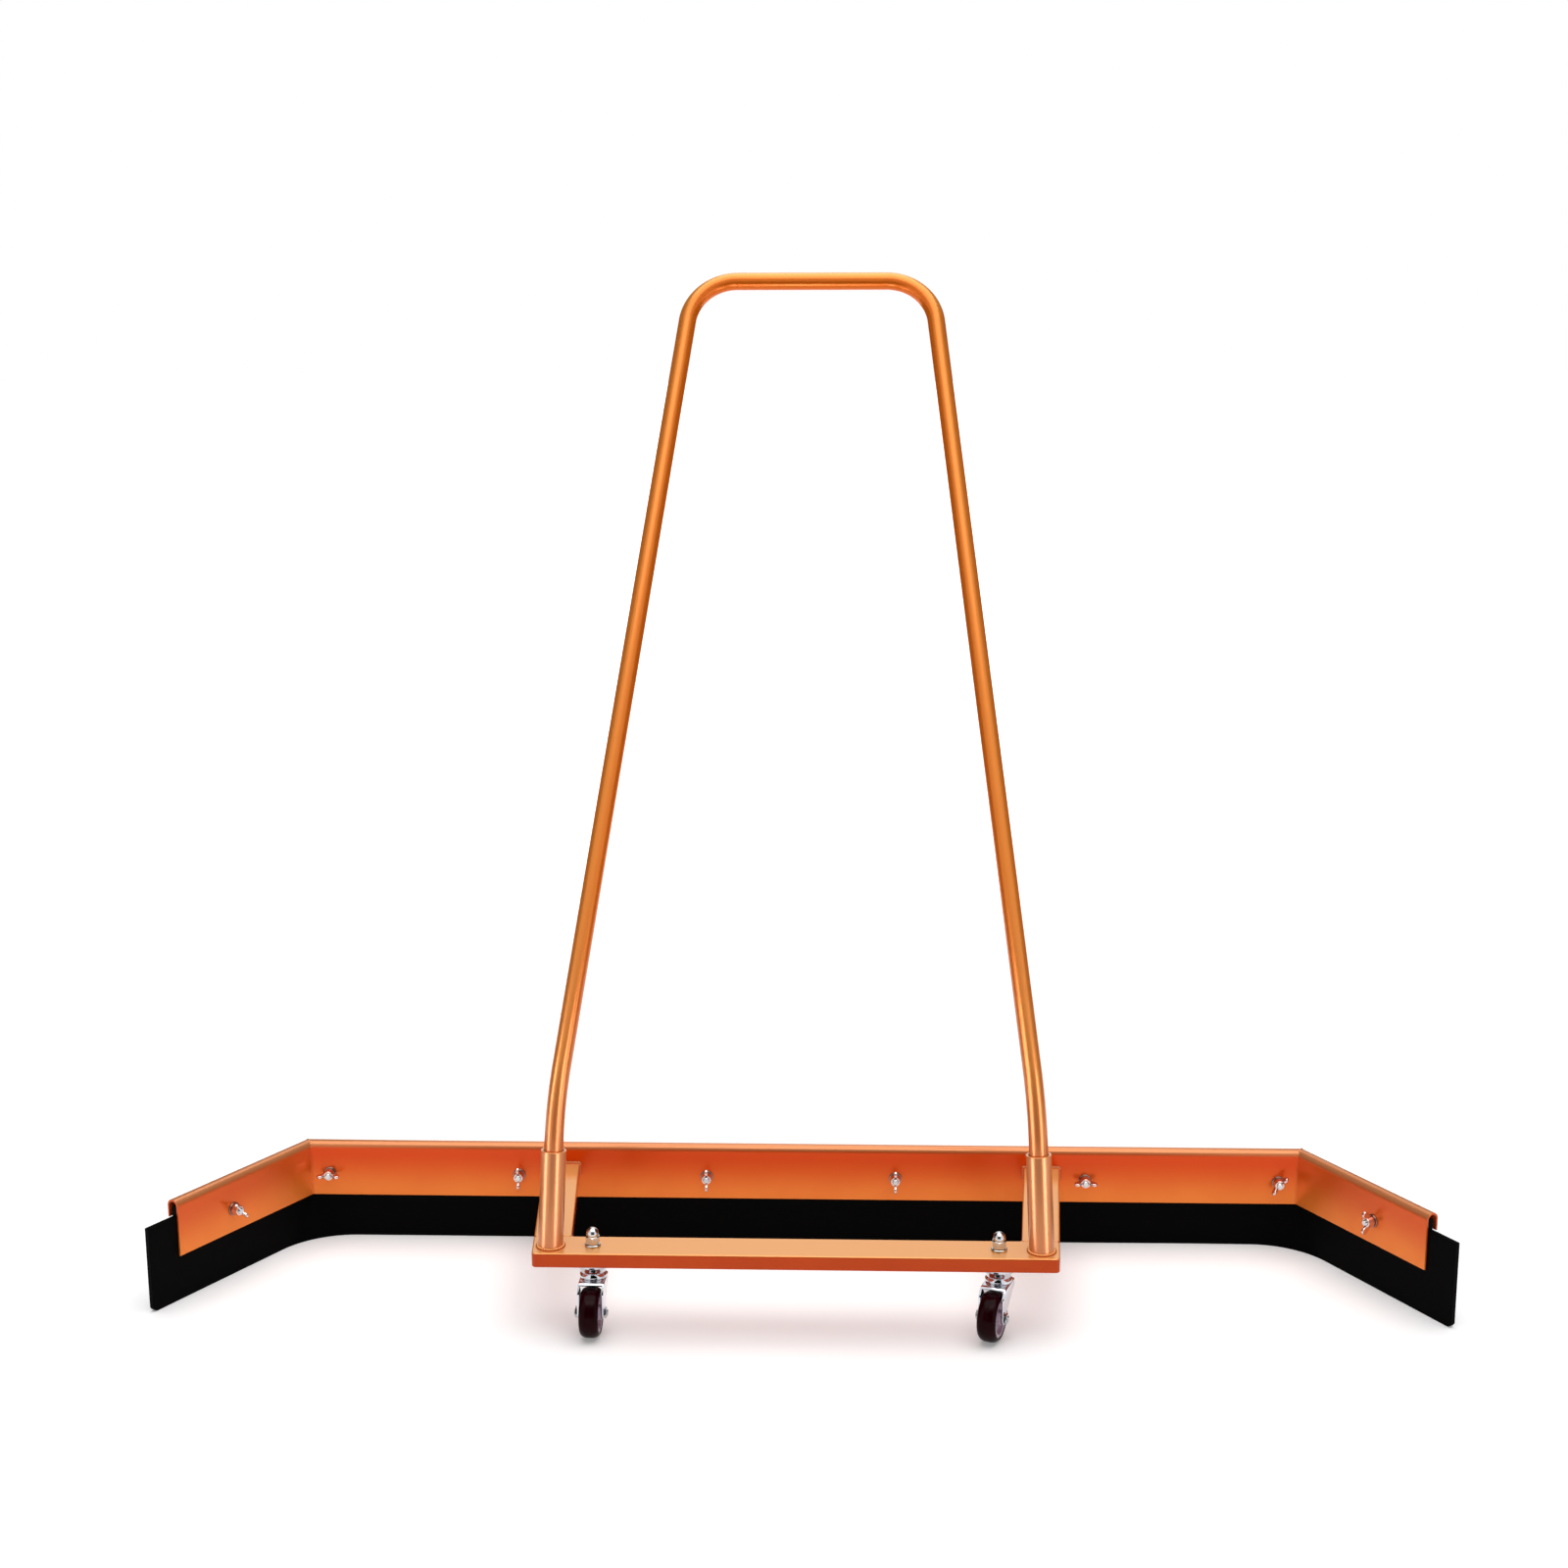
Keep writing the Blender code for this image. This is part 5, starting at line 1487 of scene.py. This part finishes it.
for side, word in SIDES:
    lit = bpy.data.collections.new(word + "_socket_and_handle")
    lit.objects.link(bpy.data.objects[word + "_socket_tube"])
    lit.objects.link(bpy.data.objects["push_handle_tube"])
    foot = Vector((side * SOCKET_FOOT.x, SOCKET_FOOT.y, BAND_LAMP_HEIGHT / 2))
    for at, angle in BAND_LAMP_ANGLES:
        away = Vector((sin(radians(angle)), -cos(radians(angle)), 0.0)) * BAND_LAMP_DISTANCE
        strip = add_lamp(word + "_" + at + "_strip", "AREA", foot + away, foot, BAND_LAMP_ENERGY,
                         **BAND_LAMP_SIZE)
        strip.light_linking.receiver_collection = lit
        boxes.append(strip)
for box in boxes:
    box.data.shape = "RECTANGLE"
    box.visible_diffuse = False


# %% Dark cards
# Black velvet on a frame swallows nearly all light. Its nap has a faint mottle.
SIDE_CARD_X = 2.6
SIDE_CARD_TOP = 4.5
VELVET = surface("black_velvet", ("#0A0A0A", "#070707"), 200 * MM, (0.95, 1.0), 3 * MM, 0.02 * MM,
                 {"Specular IOR Level": 0.0})[0]


def dark_card(name, first, last, height):
    """An upright card between two places on the floor that only reflections see."""
    corners = [(*first, 0.0), (*last, 0.0), (*last, height), (*first, height)]
    card = sheet_object(name, corners, VELVET)
    for kind in ("camera", "diffuse", "shadow", "transmission"):
        setattr(card, "visible_" + kind, False)


dark_card("front_card", (-0.60, -1.15), (0.60, -1.15), 1.1)
for side, word in SIDES:
    dark_card(word + "_side_card", (side * SIDE_CARD_X, -0.7), (side * SIDE_CARD_X, 1.2), SIDE_CARD_TOP)
    dark_card(word + "_back_card", (side * SIDE_CARD_X, 1.2), (side * 1.0, 2.4), SIDE_CARD_TOP)

# %% Camera
# The camera stands about two metres in front of the frame, a little above the top of the handle, and
# looks slightly down. Its shift is the small one that the picture's crop needs.
CAMERA_X = 65.68 * MM
CAMERA_DISTANCE = 2133.95 * MM
CAMERA_Z = 1077.39 * MM
CAMERA_YAW = radians(-1.9947)
CAMERA_PITCH = radians(12.495)
CAMERA_ROLL = radians(-0.2131)
FRAME_PIXELS = 1600
FOCAL_PIXELS = 2392.73
CENTRE_ROW = 756.58
SENSOR = 36.0

ahead = Vector((sin(CAMERA_YAW), cos(CAMERA_YAW), 0.0))
forward = ahead * cos(CAMERA_PITCH) - Vector((0.0, 0.0, sin(CAMERA_PITCH)))
level = Vector((cos(CAMERA_YAW), -sin(CAMERA_YAW), 0.0))
above = level.cross(forward)
right = level * cos(CAMERA_ROLL) + above * sin(CAMERA_ROLL)
up = above * cos(CAMERA_ROLL) - level * sin(CAMERA_ROLL)
camera_matrix = Matrix((right, up, -forward)).transposed().to_4x4()
camera_matrix.translation = (CAMERA_X, BAR_FRONT - CAMERA_DISTANCE, CAMERA_Z)

lens = bpy.data.cameras.new("camera")
lens.sensor_width = SENSOR
lens.lens = FOCAL_PIXELS / FRAME_PIXELS * SENSOR
lens.shift_y = (CENTRE_ROW - FRAME_PIXELS / 2) / FRAME_PIXELS
camera = add_object("camera", lens)
camera.matrix_world = camera_matrix
scene.camera = camera
scene.view_settings.view_transform = "Standard"
print("lens in mm", round(lens.lens, 2))
